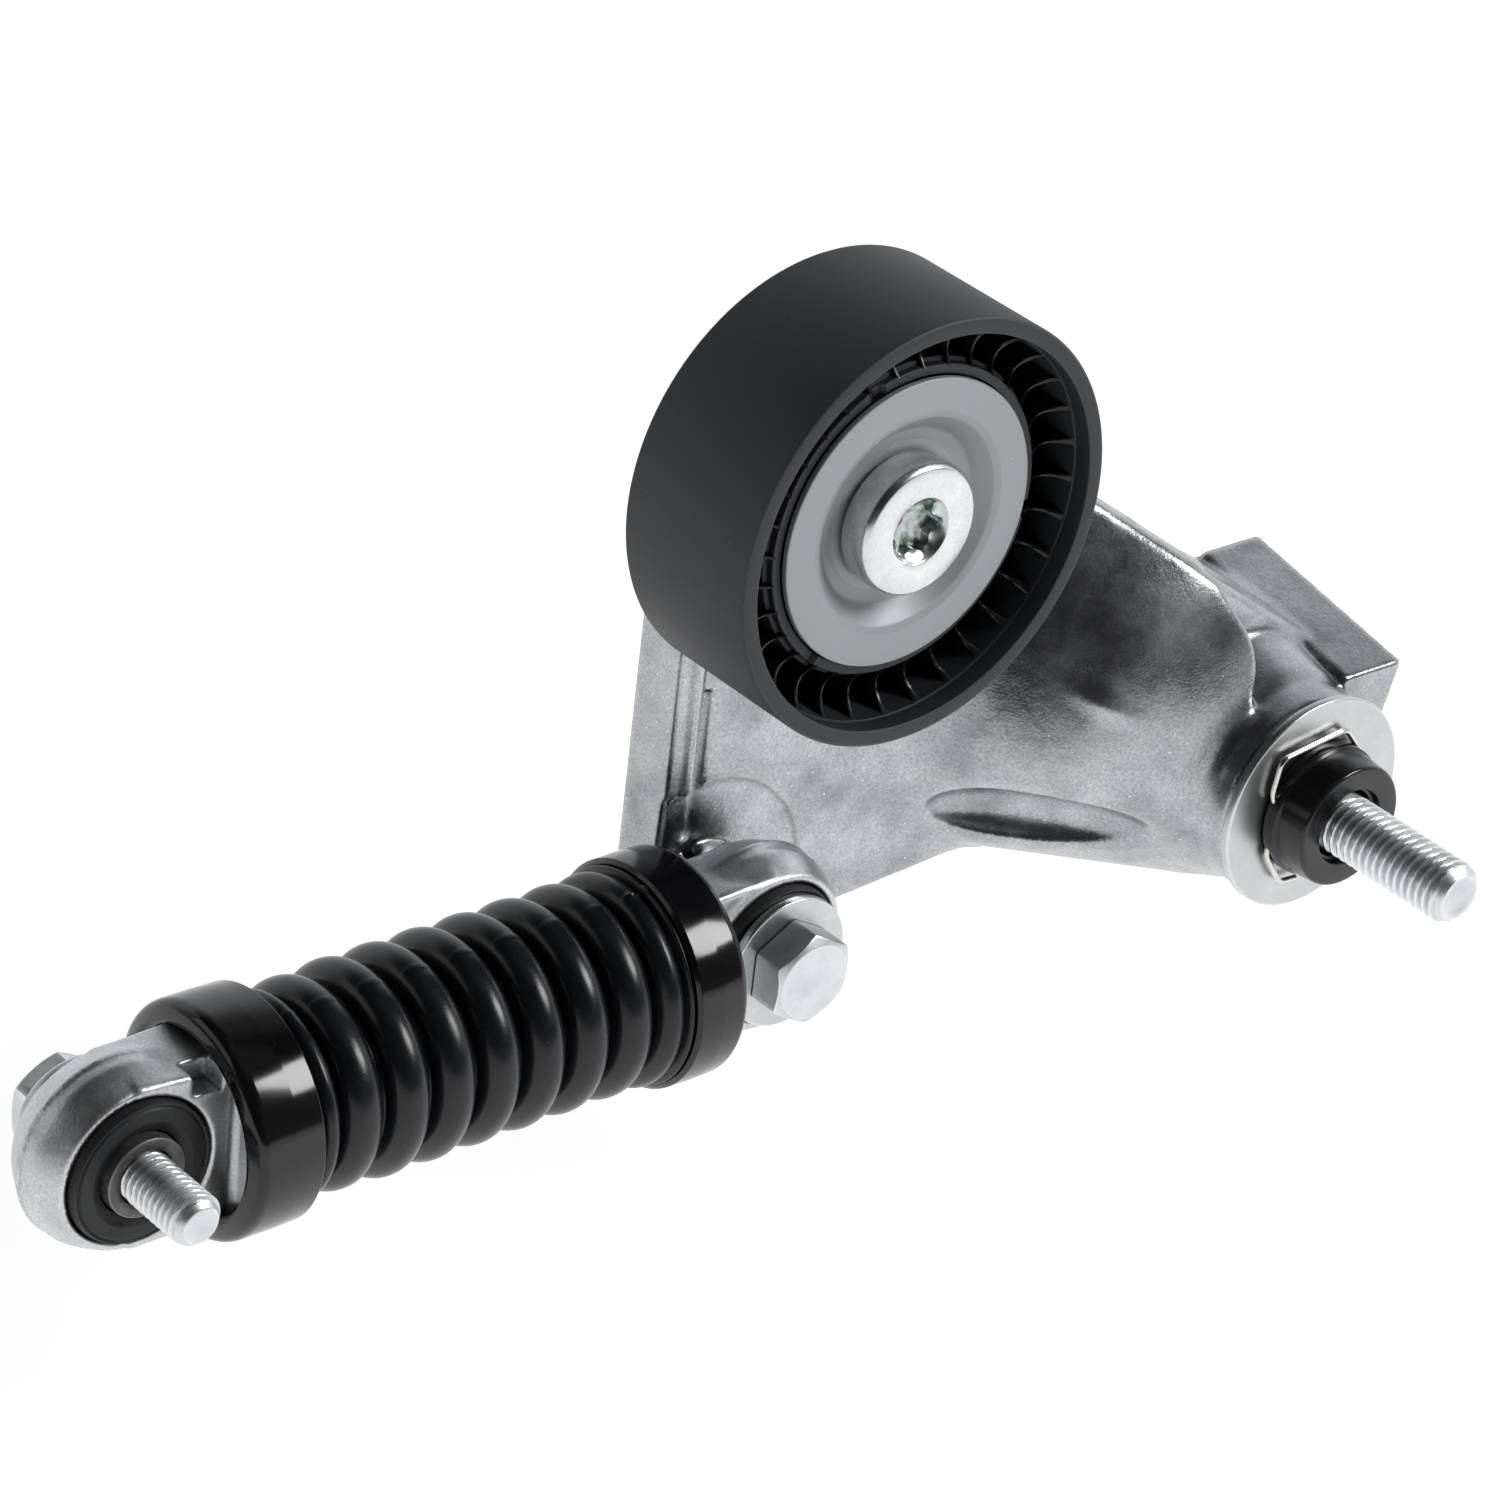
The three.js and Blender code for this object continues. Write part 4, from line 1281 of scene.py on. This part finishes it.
@dataclass
class Pulley:
    """The idler pulley with its fan ribs, dust cap and socket bolt."""

    centre: tuple[float, float] = (-85.1, 65.4)
    front: float = 3.5
    back: float = 29.5
    radius: float = 32.5
    ribs: int = 32
    bolt_face: float = 4.7

    def build(self) -> None:
        """Build the pulley's plastic, its ribs, the cap and the bolt."""
        self._tread()
        self._ribs()
        self._cap()
        self._bolt()

    def _tread(self) -> None:
        """The moulded wheel: tread, rims, web and hub ring in one closed profile.

        Three notches, one every 120 degrees, sink the lip round the cap by 0.7 mm.
        """
        f, b, r = self.front, self.back, self.radius
        mid = (f + b) / 2
        ring = Ring([
            (r - 2.5, f, 0.25), (r, f, 0.5), (r, b, 0.5), (r - 2.5, b, 0.25), (r - 2.6, mid + 2, 0.5),
            (24.4, mid + 2, 0.5), (24.2, b - 4, 0.3), (20.3, b - 4, 0.2), (20.3, f + 7.4, 0.1),
            (21.8, f + 7.4, 0.1), (22.0, f + 6.6, 0.1), (22.1, f + 4.9, 0.15), (23.5, f + 4.9, 0.2),
            (23.6, f + 6.0, 0.2), (24.2, f + 6.2, 0.2), (24.4, mid - 2, 0.5), (r - 2.7, mid - 2, 0.5),
            (r - 2.7, f + 3.2, 0.15), (r - 2.5, f + 2.9, 0.1),
        ], self.centre, segments=192, steps=4)
        points, quads = ring.surface()
        across, up = points[:, 0] - self.centre[0], points[:, 2] - self.centre[1]
        reach = np.hypot(across, up)
        turn = (np.degrees(np.arctan2(up, across)) + 129.3 + 2.0) % 120
        lip = (reach > 21.9) & (reach < 23.7) & (points[:, 1] < f + 5.2) & (points[:, 1] > f + 4.0)
        points[:, 1] += np.where(lip & (turn < 4.0), 0.7, 0.0)
        put_mesh("pulley_fine", points, quads, TREAD, "pulley", ("pulley",))

    def _ribs(self) -> None:
        """The fan ribs in front and behind: thin curved walls that thicken where they meet the rim.

        A rib runs straight out. Its edge sags by 6.8 * way * (1 - way) less 1.6 * way cubed, and its
        thickness is 0.55 + 0.8 * way to the sixth.
        """
        way = np.linspace(0, 1, 13)
        reach = 23.4 + 6.5 * way
        sag = 6.8 * way * (1 - way) - 1.6 * way**3
        half = (0.55 + 0.8 * way**6) / 2
        tops = ((self.front + 4.7, 14.6), (self.back - 4.7, 18.4))
        parts, faces, base = [], [], 0
        for start in np.arange(self.ribs) * 2 * np.pi / self.ribs:
            for top, foot in tops:
                deeper = np.sign(foot - top)
                section = [(-1.0, foot, 0), (-1.0, top + 0.25 * deeper, 1), (-0.45, top, 1), (0.45, top, 1),
                           (1.0, top + 0.25 * deeper, 1), (1.0, foot, 0)]
                across = np.array([s for s, _, _ in section])[None, :] * half[:, None]
                angle = start + across / reach[:, None]
                follows = np.array([m for _, _, m in section])[None, :] * sag[:, None] * deeper
                station = np.array([t for _, t, _ in section])[None, :] + follows
                points = np.stack([self.centre[0] + reach[:, None] * np.cos(angle), station,
                                   self.centre[1] + reach[:, None] * np.sin(angle)], -1)
                side = grid_faces(len(way), 6)
                caps = np.array([[0, 1, 4, 5], [1, 2, 3, 4]])
                ends = np.concatenate([caps, (caps + 6 * (len(way) - 1))[:, ::-1]])
                quads = np.concatenate([side, ends])
                points = points.reshape(-1, 3)
                a, b, d = (points[quads[:, i]] for i in (0, 1, 3))
                if np.einsum("ij,ij->i", a - points.mean(0), np.cross(b - a, d - a)).sum() < 0:
                    quads = quads[:, ::-1]
                parts.append(points)
                faces.append(quads + base)
                base += len(points)
        put_mesh("pulley_fan_ribs", np.concatenate(parts), np.concatenate(faces), RIB_PLASTIC, "pulley")

    def _cap(self) -> None:
        """The pressed cap: a flat rim, a rolled shoulder and a dished floor round the bolt."""
        ring = Ring([
            (5.3, 10.6, 0.1), (11.4, 10.6, 1.0), (13.4, 10.2, 1.4), (15.9, 7.8, 1.2), (17.0, 7.4, 0.8),
            (21.9, 7.4, 0.3), (21.9, 8.4, 0.25), (17.4, 8.4, 0.8), (16.4, 8.8, 1.2), (14.0, 11.2, 1.2),
            (11.8, 11.6, 1.0), (5.3, 11.6, 0.1),
        ], self.centre, segments=160, steps=6)
        put_mesh("dust_cap_fine", *ring.surface(), CAP, "arm", ("dust_cap",))
        shield = Ring([(11.7, 24.1, 0.1), (19.6, 24.1, 0.2), (19.6, 25.1, 0.2), (11.7, 25.1, 0.1)],
                      self.centre)
        put_mesh("rear_dust_shield_fine", *shield.surface(), CAP, "arm", ("rear_dust_shield",))

    def _bolt(self) -> None:
        """The socket bolt: a chamfered cylinder head with a countersunk six-lobed socket."""
        face = self.bolt_face
        depth = np.linspace(face + 1.3, face + 2.9, 5)
        rows = [(0.0, face + 3.5, "round"), (1.8, face + 3.2, "round"), (3.0, face + 3.0, "lobe")]
        rows += [(4.5, s, "lobe") for s in depth[::-1]]
        rows += [(4.6, face + 0.75, "round"), (4.95, face + 0.3, "round"), (5.1, face + 0.08, "round"),
                 (5.25, face, "round"), (9.35, face, "round"), (9.6, face + 0.12, "round"),
                 (10.1, face + 0.75, "round"), (10.2, face + 1.1, "round"), (10.2, 9.7, "round"),
                 (10.0, 10.0, "round"), (4.95, 10.0, "round"), (4.95, 40.6, "round"),
                 (4.4, 41.0, "round"), (0.0, 41.0, "round")]
        screw = Screw(rows, self.centre, Thread(1.5, 26.0, 41.0))
        points, quads = screw.surface()
        depth_in = np.hypot(points[:, 0] - self.centre[0], points[:, 2] - self.centre[1])
        paint = ((depth_in < 4.3) & (points[:, 1] > face + 0.7) & (points[:, 1] < 9.6)).astype(float)
        put_mesh("pulley_bolt_fine", points, quads, SOCKET_ZINC, "arm", ("pulley_bolt",),
                 marks={"paint": paint})


@dataclass
class Strut:
    """The strut: two cast eyes with rubber bushes, glossy collars, a bellows and a spring."""

    y: float = 21.5
    z: float = -6.4
    upper: float = -92.7
    lower: float = -202.7
    step: float = 0.5
    eye: float = 14.2
    bore: float = 11.25
    flange: float = 12.9
    collar: float = 17.2
    valley: float = 12.3
    pitch: float = 7.75
    half_turn: float = 3.3
    crests: tuple[float, ...] = (-124.6, -132.35, -140.1, -147.85, -155.6, -163.35, -171.1)

    def build(self) -> None:
        """Build the strut from its upper eye to its lower bolt."""
        self._eyes()
        self._bushes()
        self._collars()
        self._bellows()
        self._spring()
        self._upper_bolt()
        self._lower_bolt()

    def _ring(self, x: Array, y: Array, z: Array, centre: float) -> Array:
        """Measure an eye's ring: a flat band with a thin parting ridge, and round shoulders beside it.

        Args:
            x, y, z: coordinates of each place, in millimetres.
            centre: the eye's station along X.

        Returns:
            The distance, negative inside.
        """
        r = np.hypot(x - centre, z - self.z)
        off = np.abs(y - self.y)
        barrel = (r - self.eye + 2.0 * np.clip((off - 1.2) / 4.8, 0, 1) ** 1.25) * 0.9
        ridge = np.hypot(r - self.eye + 0.1, y - self.y - 1.2) - 0.34
        return smooth_union(smooth_both(barrel, off - 6.0, 0.4), ridge, 0.3)

    def _upper_eye(self, x: Array, y: Array, z: Array) -> Array:
        """Measure the upper eye, its flat-sided neck and the flange inside the collar.

        Args:
            x, y, z: coordinates of each place, in millimetres.

        Returns:
            The distance, negative inside.
        """
        body = self._ring(x, y, z, self.upper)
        side = np.abs(z - self.z) - (12.8 - 0.6 * np.clip((self.upper - x) / 13, 0, 1))
        neck = smooth_both(smooth_both(np.abs(y - self.y) - 5.7, side, 1.0), np.abs(x + 100) - 6.6, 0.4)
        body = smooth_union(body, neck, 0.9)
        flange = drum(y, z, x, (self.y, self.z), self.flange, -113.2, -105.4, 0.6)
        body = smooth_union(body, flange, 1.6)
        bore = np.hypot(x - self.upper, z - self.z) - self.bore
        rod = smooth_both(np.hypot(y - self.y, z - self.z) - 5.3, x + 107.6, 0.3)
        return smooth_cut(np.maximum(body, -rod), bore, 0.5)

    def _lower_eye(self, x: Array, y: Array, z: Array) -> Array:
        """Measure the lower eye, its tapered neck, the notch on its shoulder and the flange.

        Args:
            x, y, z: coordinates of each place, in millimetres.

        Returns:
            The distance, negative inside.
        """
        body = self._ring(x, y, z, self.lower)
        u = np.clip((x - self.lower) / 13, 0, 1)
        side = np.abs(z - self.z) - (12.9 - 0.5 * u)
        thick = np.abs(y - self.y) - (5.9 + 1.2 * u + 0.9 * np.maximum(x + 188.6, 0))
        neck = smooth_both(smooth_both(thick, side, 1.0), np.abs(x + 194.4) - 8.8, 0.5)
        body = smooth_union(body, neck, 0.8)
        flange = drum(y, z, x, (self.y, self.z), self.flange, -187.6, -182.6, 0.6)
        body = smooth_union(body, flange, 0.5)
        notch = block(x, y, z, (-192.7, self.y - 6.2, self.z + 11.6), (2.25, 3.4, 2.2), 0.5)
        bore = np.hypot(x - self.lower, z - self.z) - self.bore
        seat = smooth_both(np.hypot(y - self.y, z - self.z) - 8.3, -187.2 - x, 0.3)
        return smooth_cut(smooth_cut(np.maximum(body, -seat), notch, 0.4), bore, 0.5)

    def _eyes(self) -> None:
        """Mesh both eyes from their distance fields."""
        low_y, high_y, low_z, high_z = self.y - 14, self.y + 14, self.z - 16, self.z + 16
        upper = surface_net(self._upper_eye, (-114, low_y, low_z), (-76.5, high_y, high_z), self.step)
        put_mesh("upper_eye_fine", *upper, EYE_CAST, "strut_upper", ("upper_eye",), sharp=60.0)
        lower = surface_net(self._lower_eye, (-219, low_y, low_z), (-181, high_y, high_z), self.step)
        put_mesh("lower_eye_fine", *lower, EYE_CAST, "strut_lower", ("lower_eye",), sharp=60.0)

    def _bushes(self) -> None:
        """The rubber rings, grooved near their rims, and the steel sleeves that stand proud of them."""
        sides = (("upper", self.upper, 4.95, 7.9, "arm"), ("lower", self.lower, 3.95, 8.2, "lower_pin"))
        for name, x, shank, proud, body in sides:
            centre = (x, self.z)
            f, b = self.y - 7.4, self.y + 7.4
            rubber = Ring([
                (6.4, f + 0.9, 0.1), (7.3, f + 0.5, 0.5), (8.0, f + 0.1, 0.4), (9.9, f + 0.05, 0.3),
                (10.2, f + 0.45, 0.12), (10.6, f + 0.1, 0.2), (10.95, f + 1.4, 0.3), (10.95, b - 1.4, 0.3),
                (9.9, b, 0.5), (7.3, b, 0.5), (6.4, b - 0.9, 0.1)], centre, segments=128)
            put_mesh(f"{name}_bush_rubber_fine", *rubber.surface(), BUSH_RUBBER, f"strut_{name}",
                     (f"{name}_bush_rubber",))
            f, b = self.y - proud, self.y + 8.2
            sleeve = Ring([(shank + 0.3, f + 0.2, 0.2), (shank + 0.8, f, 0.2), (6.1, f, 0.3), (6.1, b, 0.3),
                           (shank + 0.3, b, 0.2)], centre, segments=96)
            put_mesh(f"{name}_bush_sleeve_fine", *sleeve.surface(), WORN_SLEEVE, body,
                     (f"{name}_bush_sleeve",))

    def _collars(self) -> None:
        """The glossy bands: a square seam edge on the bellows' side and a rolled outer end."""
        r = self.collar
        upper = Ring([(15.5, -115.4, 0.1), (r - 0.7, -115.4, 0.1), (r - 0.1, -114.9, 0.3), (r, -111, 0.4),
                      (r - 0.1, -106.4, 2.4), (14.2, -106.2, 0.5), (13.4, -107.2, 0.2), (13.4, -114.3, 0.1),
                      (15.5, -114.3, 0.1)],
                     (self.y, self.z), Axis.ALONG_X, 160, 8)
        put_mesh("collar_upper_fine", *upper.surface(), COLLAR_GLOSS, "strut_upper", ("collar_upper",))
        lower = Ring([(13.4, -190.2, 0.3), (14.4, -191.2, 0.9), (r, -190.2, 3.0), (r, -184, 0.5),
                      (r - 0.1, -180.1, 0.3), (r - 0.7, -179.6, 0.1), (15.5, -179.6, 0.1),
                      (15.5, -180.6, 0.1), (13.4, -180.6, 0.1)],
                     (self.y, self.z), Axis.ALONG_X, 160, 8)
        put_mesh("collar_lower_fine", *lower.surface(), COLLAR_GLOSS, "strut_lower", ("collar_lower",))

    def bellows_radius(self, x: Array) -> Array:
        """Give the bellows' outer radius.

        Each turn is a half ellipse 6.6 mm wide, made a little fuller by a power of 2.1, that stands on the
        valley; the last one is a little lower. A lower turn and a thin bead fill the room up to the upper
        collar, and a low turn that up to the lower one.

        Args:
            x: stations along the strut.

        Returns:
            The radius at each station.
        """
        valley, pitch = self.valley, self.pitch
        first, last = self.crests[0] + pitch / 2, self.crests[-1] - pitch / 2
        t = (x - self.crests[0]) / pitch
        t = (t - np.round(t)) * pitch / self.half_turn
        crest = np.where(x < self.crests[-1] + pitch / 2, 15.3, 15.75)
        wave = valley + (crest - valley) * np.sqrt(np.maximum(1 - np.abs(t) ** 2.1, 0.0))
        radius = np.where((x > first) | (x < last), valley, wave)
        for place, size, height in ((-118.3, 2.5, 15.9), (-115.9, 0.8, 16.3), (-176.9, 1.8, 15.0)):
            bead = valley + (height - valley) * np.sqrt(np.maximum(1 - ((x - place) / size) ** 2, 0))
            radius = np.maximum(radius, np.where(np.abs(x - place) < size, bead, 0))
        return np.where((x > -115.6) | (x < -179.0), 15.1, radius)

    def _bellows(self) -> None:
        """The rubber bellows: the outer radius, an inner wall a millimetre in, and moulding marks."""
        x = np.linspace(-114.8, -180.2, 440)
        outer = self.bellows_radius(x)
        inner = np.minimum(outer - 1.1, 14.2)
        segments = 180
        angle = np.linspace(0, 2 * np.pi, segments, endpoint=False)
        away = np.abs((angle - np.radians(100) + np.pi / 2) % np.pi - np.pi / 2)
        seam = np.exp(-((away / 0.022) ** 2))
        flash = 0.14 + 0.42 * np.exp(-(((x + 115.9) / 0.7) ** 2))
        flash += 0.3 * np.exp(-(((x + 118.3) / 0.9) ** 2))
        raised = outer[:, None] + flash[:, None] * seam[None, :]
        radii = np.concatenate([raised, np.repeat(inner[::-1, None], segments, 1)])
        stations = np.concatenate([x, x[::-1]])
        points = around(radii, stations, Axis.ALONG_X, (self.y, self.z))
        piece = put_mesh("bellows_fine", points, grid_faces(len(radii), segments, True), BELLOWS_RUBBER,
                         "", ("bellows",), sharp=70.0)
        self._stretch(piece)

    def _stretch(self, piece: bpy.types.Object) -> None:
        """Bake a piece's place into its mesh; it rides on neither half of the strut."""
        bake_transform(piece)

    def _spring(self) -> None:
        """The compression spring inside the bellows: a round wire along a helix with flat ends."""
        turns, radius = 7, 10.7
        t = np.linspace(0, 1, turns * 36 + 1)
        flat = np.clip((t - 0.06) / 0.88, 0, 1)
        angle = 2 * np.pi * turns * t
        along = -115.4 + (-180.4 + 115.4) * (0.04 * t + 0.96 * flat)
        line = np.stack([along, self.y + radius * np.cos(angle), self.z + radius * np.sin(angle)], 1)
        piece = put_mesh("compression_spring_fine", *tube(line, 1.25, 12), STEEL, "",
                         ("compression_spring",))
        self._stretch(piece)

    def _upper_bolt(self) -> None:
        """The hexagon bolt through the upper eye, and its wide washer."""
        face = self.y - 7.9
        head = hex_head(face - 7.3, face - 1.45, 13.0, 0.0)
        rows = head + [(4.95, face - 1.4, "round"), (4.95, 40.4, "round"), (4.3, 41, "round"),
                       (0.0, 41, "round")]
        screw = Screw(rows, (self.upper, self.z), Thread(1.5, 31.0, 41.0), flats=13.0)
        put_mesh("upper_bolt_fine", *screw.surface(), ZINC, "arm", ("upper_bolt",))
        washer = Ring([(5.25, face - 1.4, 0.15), (10.4, face - 1.4, 0.4), (10.4, face, 0.3),
                       (5.25, face, 0.15)], (self.upper, self.z))
        put_mesh("upper_bolt_washer_fine", *washer.surface(), WASHER, "arm", ("upper_bolt_washer",))

    def _lower_bolt(self) -> None:
        """The long bolt through the lower eye: a flat chamfered tip, an M8 thread and a rear head."""
        face = self.y + 8.2
        seat = face + 1.5
        tip = 0.5
        rows = [(0.0, tip + 0.06, "round"), (0.5, tip, "round"), (2.45, tip, "round"),
                (2.75, tip + 0.12, "round"), (3.95, tip + 1.5, "round"), (3.95, seat, "round")]
        head = hex_head(seat + 5.3, seat, 13.0, 8.0)
        screw = Screw(rows + head[::-1], (self.lower, self.z), Thread(1.25, tip, 16.0), flats=13.0)
        put_mesh("lower_bolt_fine", *screw.surface(), ZINC, "lower_pin", ("lower_bolt",))
        washer = Ring([(4.25, face, 0.15), (9.4, face, 0.3), (9.4, seat, 0.4), (4.25, seat, 0.15)],
                      (self.lower, self.z))
        put_mesh("lower_bolt_washer_fine", *washer.surface(), WASHER, "lower_pin", ("lower_bolt_washer",))


@dataclass
class Insides:
    """The CAD pieces that keep their own meshes and only get a finish."""

    finishes: dict[str, Finish] = field(default_factory=lambda: {
        "pivot_inner_sleeve": STEEL, "pivot_bush_front": BRONZE, "pivot_bush_rear": BRONZE,
        "bearing_outer_ring": STEEL, "bearing_inner_ring": STEEL, "bearing_seal_front": BUSH_RUBBER,
        "bearing_seal_rear": BUSH_RUBBER, "bearing_cage": STEEL, "pulley_hub_sleeve": STEEL,
        "piston_rod": STEEL, "plunger": STEEL, "pressure_cylinder": STEEL, "check_valve": STEEL,
        "rod_seal": BUSH_RUBBER, "rod_guide": STEEL})

    def dress(self, nodes: dict[str, bpy.types.Object]) -> None:
        """Give each kept CAD node its finish.

        Args:
            nodes: the frame's CAD objects by name.
        """
        kept = dict(self.finishes)
        kept.update({name: STEEL for name in nodes if name.startswith("bearing_ball_")})
        for name, finish in kept.items():
            piece = nodes[name]
            for index in range(max(1, len(piece.material_slots))):
                if not piece.material_slots:
                    piece.data.materials.append(finish.build())
                piece.material_slots[index].material = finish.build()
            log.info("%s keeps its CAD mesh", name)


# ---------------------------------------------------------------- studio


@dataclass(frozen=True)
class Softbox:
    """A rectangular area light that looks at the object from a direction."""

    name: str
    azimuth: float
    elevation: float
    distance: float
    size: tuple[float, float]
    power: float

    def place(self, aim: Array) -> None:
        """Put the light at its distance from aim and turn it to face aim.

        Azimuth is in degrees from the front, -Y, towards +X.

        Args:
            aim: the place it looks at, in metres.
        """
        az, el = math.radians(self.azimuth), math.radians(self.elevation)
        way = np.array([math.sin(az) * math.cos(el), -math.cos(az) * math.cos(el), math.sin(el)])
        lamp = bpy.data.lights.new(self.name, "AREA")
        lamp.shape = "RECTANGLE"
        lamp.size, lamp.size_y = self.size
        lamp.energy = self.power
        piece = bpy.data.objects.new(self.name, lamp)
        piece.matrix_world = look(aim + way * self.distance, way)
        bpy.context.scene.collection.objects.link(piece)


def look(place: Array, back: Array) -> Matrix:
    """Turn a place and a direction into a matrix.

    Args:
        place: where the object stands, in metres.
        back: the direction that its +Z points along.

    Returns:
        The matrix, whose X is level.
    """
    back = back / np.linalg.norm(back)
    right = np.cross([0, 0, 1], back)
    right /= np.linalg.norm(right)
    up = np.cross(back, right)
    return Matrix([[right[i], up[i], back[i], place[i]] for i in range(3)] + [[0, 0, 0, 1]])


@dataclass
class Studio:
    """A pale floor, soft rectangular lights, a pale surround and the camera."""

    lens: float = 135.595
    eye: tuple[float, float, float] = (-0.569457, -0.491451, 0.418527)
    right: tuple[float, float, float] = (0.769901, -0.629525, 0.104645)
    up: tuple[float, float, float] = (0.242037, 0.439776, 0.864879)
    floor_half: float = 4.0
    floor_grey: float = 0.5
    floor_glow: float = 0.82

    def build(self, floor_height: float) -> None:
        """Set up floor, light and camera.

        Args:
            floor_height: the floor's Z in metres.
        """
        bpy.context.scene.view_settings.view_transform = "Standard"
        self._camera()
        self._floor(floor_height)
        self._surround()
        aim = np.array([-0.09, 0.02, 0.02])
        for box in (
            Softbox("key_softbox", 44, 38, 0.95, (0.34, 0.36), 5.2),
            Softbox("top_softbox", 20, 78, 1.1, (0.9, 0.7), 0.2),
            Softbox("left_softbox", -115, 22, 1.2, (0.8, 0.6), 1.0),
        ):
            box.place(aim)

    def _camera(self) -> None:
        """Create the camera from its place, its right and up directions and its lens."""
        data = bpy.data.cameras.new("camera")
        data.lens, data.sensor_width, data.clip_start = self.lens, 36.0, 0.01
        piece = bpy.data.objects.new("camera", data)
        back = np.cross(self.right, self.up)
        rows = [[self.right[i], self.up[i], back[i], self.eye[i]] for i in range(3)]
        piece.matrix_world = Matrix(rows + [[0, 0, 0, 1]])
        bpy.context.scene.collection.objects.link(piece)
        bpy.context.scene.camera = piece

    def _floor(self, height: float) -> None:
        """Lay a wide flat floor, faintly self-lit as a light table is.

        Args:
            height: the floor's Z in metres.
        """
        mesh = bpy.data.meshes.new("floor")
        corners_xy = [(-1, -1), (1, -1), (1, 1), (-1, 1)]
        places = [(self.floor_half * x, self.floor_half * y, height) for x, y in corners_xy]
        mesh.from_pydata(places, [], [(0, 1, 2, 3)])
        material = bpy.data.materials.new("pale_floor")
        material.use_nodes = True
        shader = material.node_tree.nodes["Principled BSDF"]
        shader.inputs["Base Color"].default_value = (*[self.floor_grey] * 3, 1)
        shader.inputs["Roughness"].default_value = 0.9
        shader.inputs["Emission Color"].default_value = (1, 1, 1, 1)
        shader.inputs["Emission Strength"].default_value = self.floor_glow
        mesh.materials.append(material)
        piece = bpy.data.objects.new("floor", mesh)
        bpy.context.scene.collection.objects.link(piece)
        piece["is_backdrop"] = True

    def _surround(self) -> None:
        """A dim surround that turns white behind the object, as a paper sweep does.

        The strength runs smoothly from dim to white with the direction's dot product with the level way
        from the camera to the object, and falls to almost nothing round the camera itself and overhead.
        """
        world = bpy.data.worlds.new("surround")
        world.use_nodes = True
        nodes, links = world.node_tree.nodes, world.node_tree.links
        sky = nodes["Background"]
        sky.inputs["Color"].default_value = (0.96, 0.98, 1.0, 1)
        place = nodes.new("ShaderNodeTexCoord")
        back = np.cross(self.right, self.up)
        strengths = []
        for way, low, high, least, most in (
            ((-back[0], -back[1], 0.0), -0.1, 0.5, 0.09, 0.97),
            (tuple(back), 0.68, 0.9, 0.0, -0.12),
            ((0.0, 0.0, 1.0), 0.5, 0.82, 0.0, -0.8),
        ):
            dot = nodes.new("ShaderNodeVectorMath")
            dot.operation = "DOT_PRODUCT"
            dot.inputs[1].default_value = tuple(float(v) for v in way)
            ramp = nodes.new("ShaderNodeMapRange")
            ramp.interpolation_type = "SMOOTHSTEP"
            for name, value in (("From Min", low), ("From Max", high), ("To Min", least), ("To Max", most)):
                ramp.inputs[name].default_value = value
            links.new(place.outputs["Generated"], dot.inputs[0])
            links.new(dot.outputs["Value"], ramp.inputs["Value"])
            strengths.append(ramp.outputs["Result"])
        total = strengths[0]
        for other in strengths[1:]:
            total = Finish._math(nodes, links, "ADD", total, other)
        total = Finish._math(nodes, links, "MAXIMUM", total, 0.015)
        links.new(total, sky.inputs["Strength"])
        bpy.context.scene.world = world


def corners(box: tuple) -> list[list[float]]:
    """Turn a box's two corners into plain lists."""
    return [[float(v) for v in corner] for corner in box]


def main() -> None:
    """Build every sub-assembly over the frame, then the studio."""
    logging.basicConfig(level=logging.INFO, format="%(message)s", stream=sys.stdout)
    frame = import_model()
    cad_box = corners(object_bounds())
    for part in (Pivot(), Arm(), Pulley(), Strut()):
        part.build()
    Insides().dress(frame["nodes"])
    Studio().build(cad_box[0][2] - FLOOR_DROP)


if __name__ == "__main__":
    main()
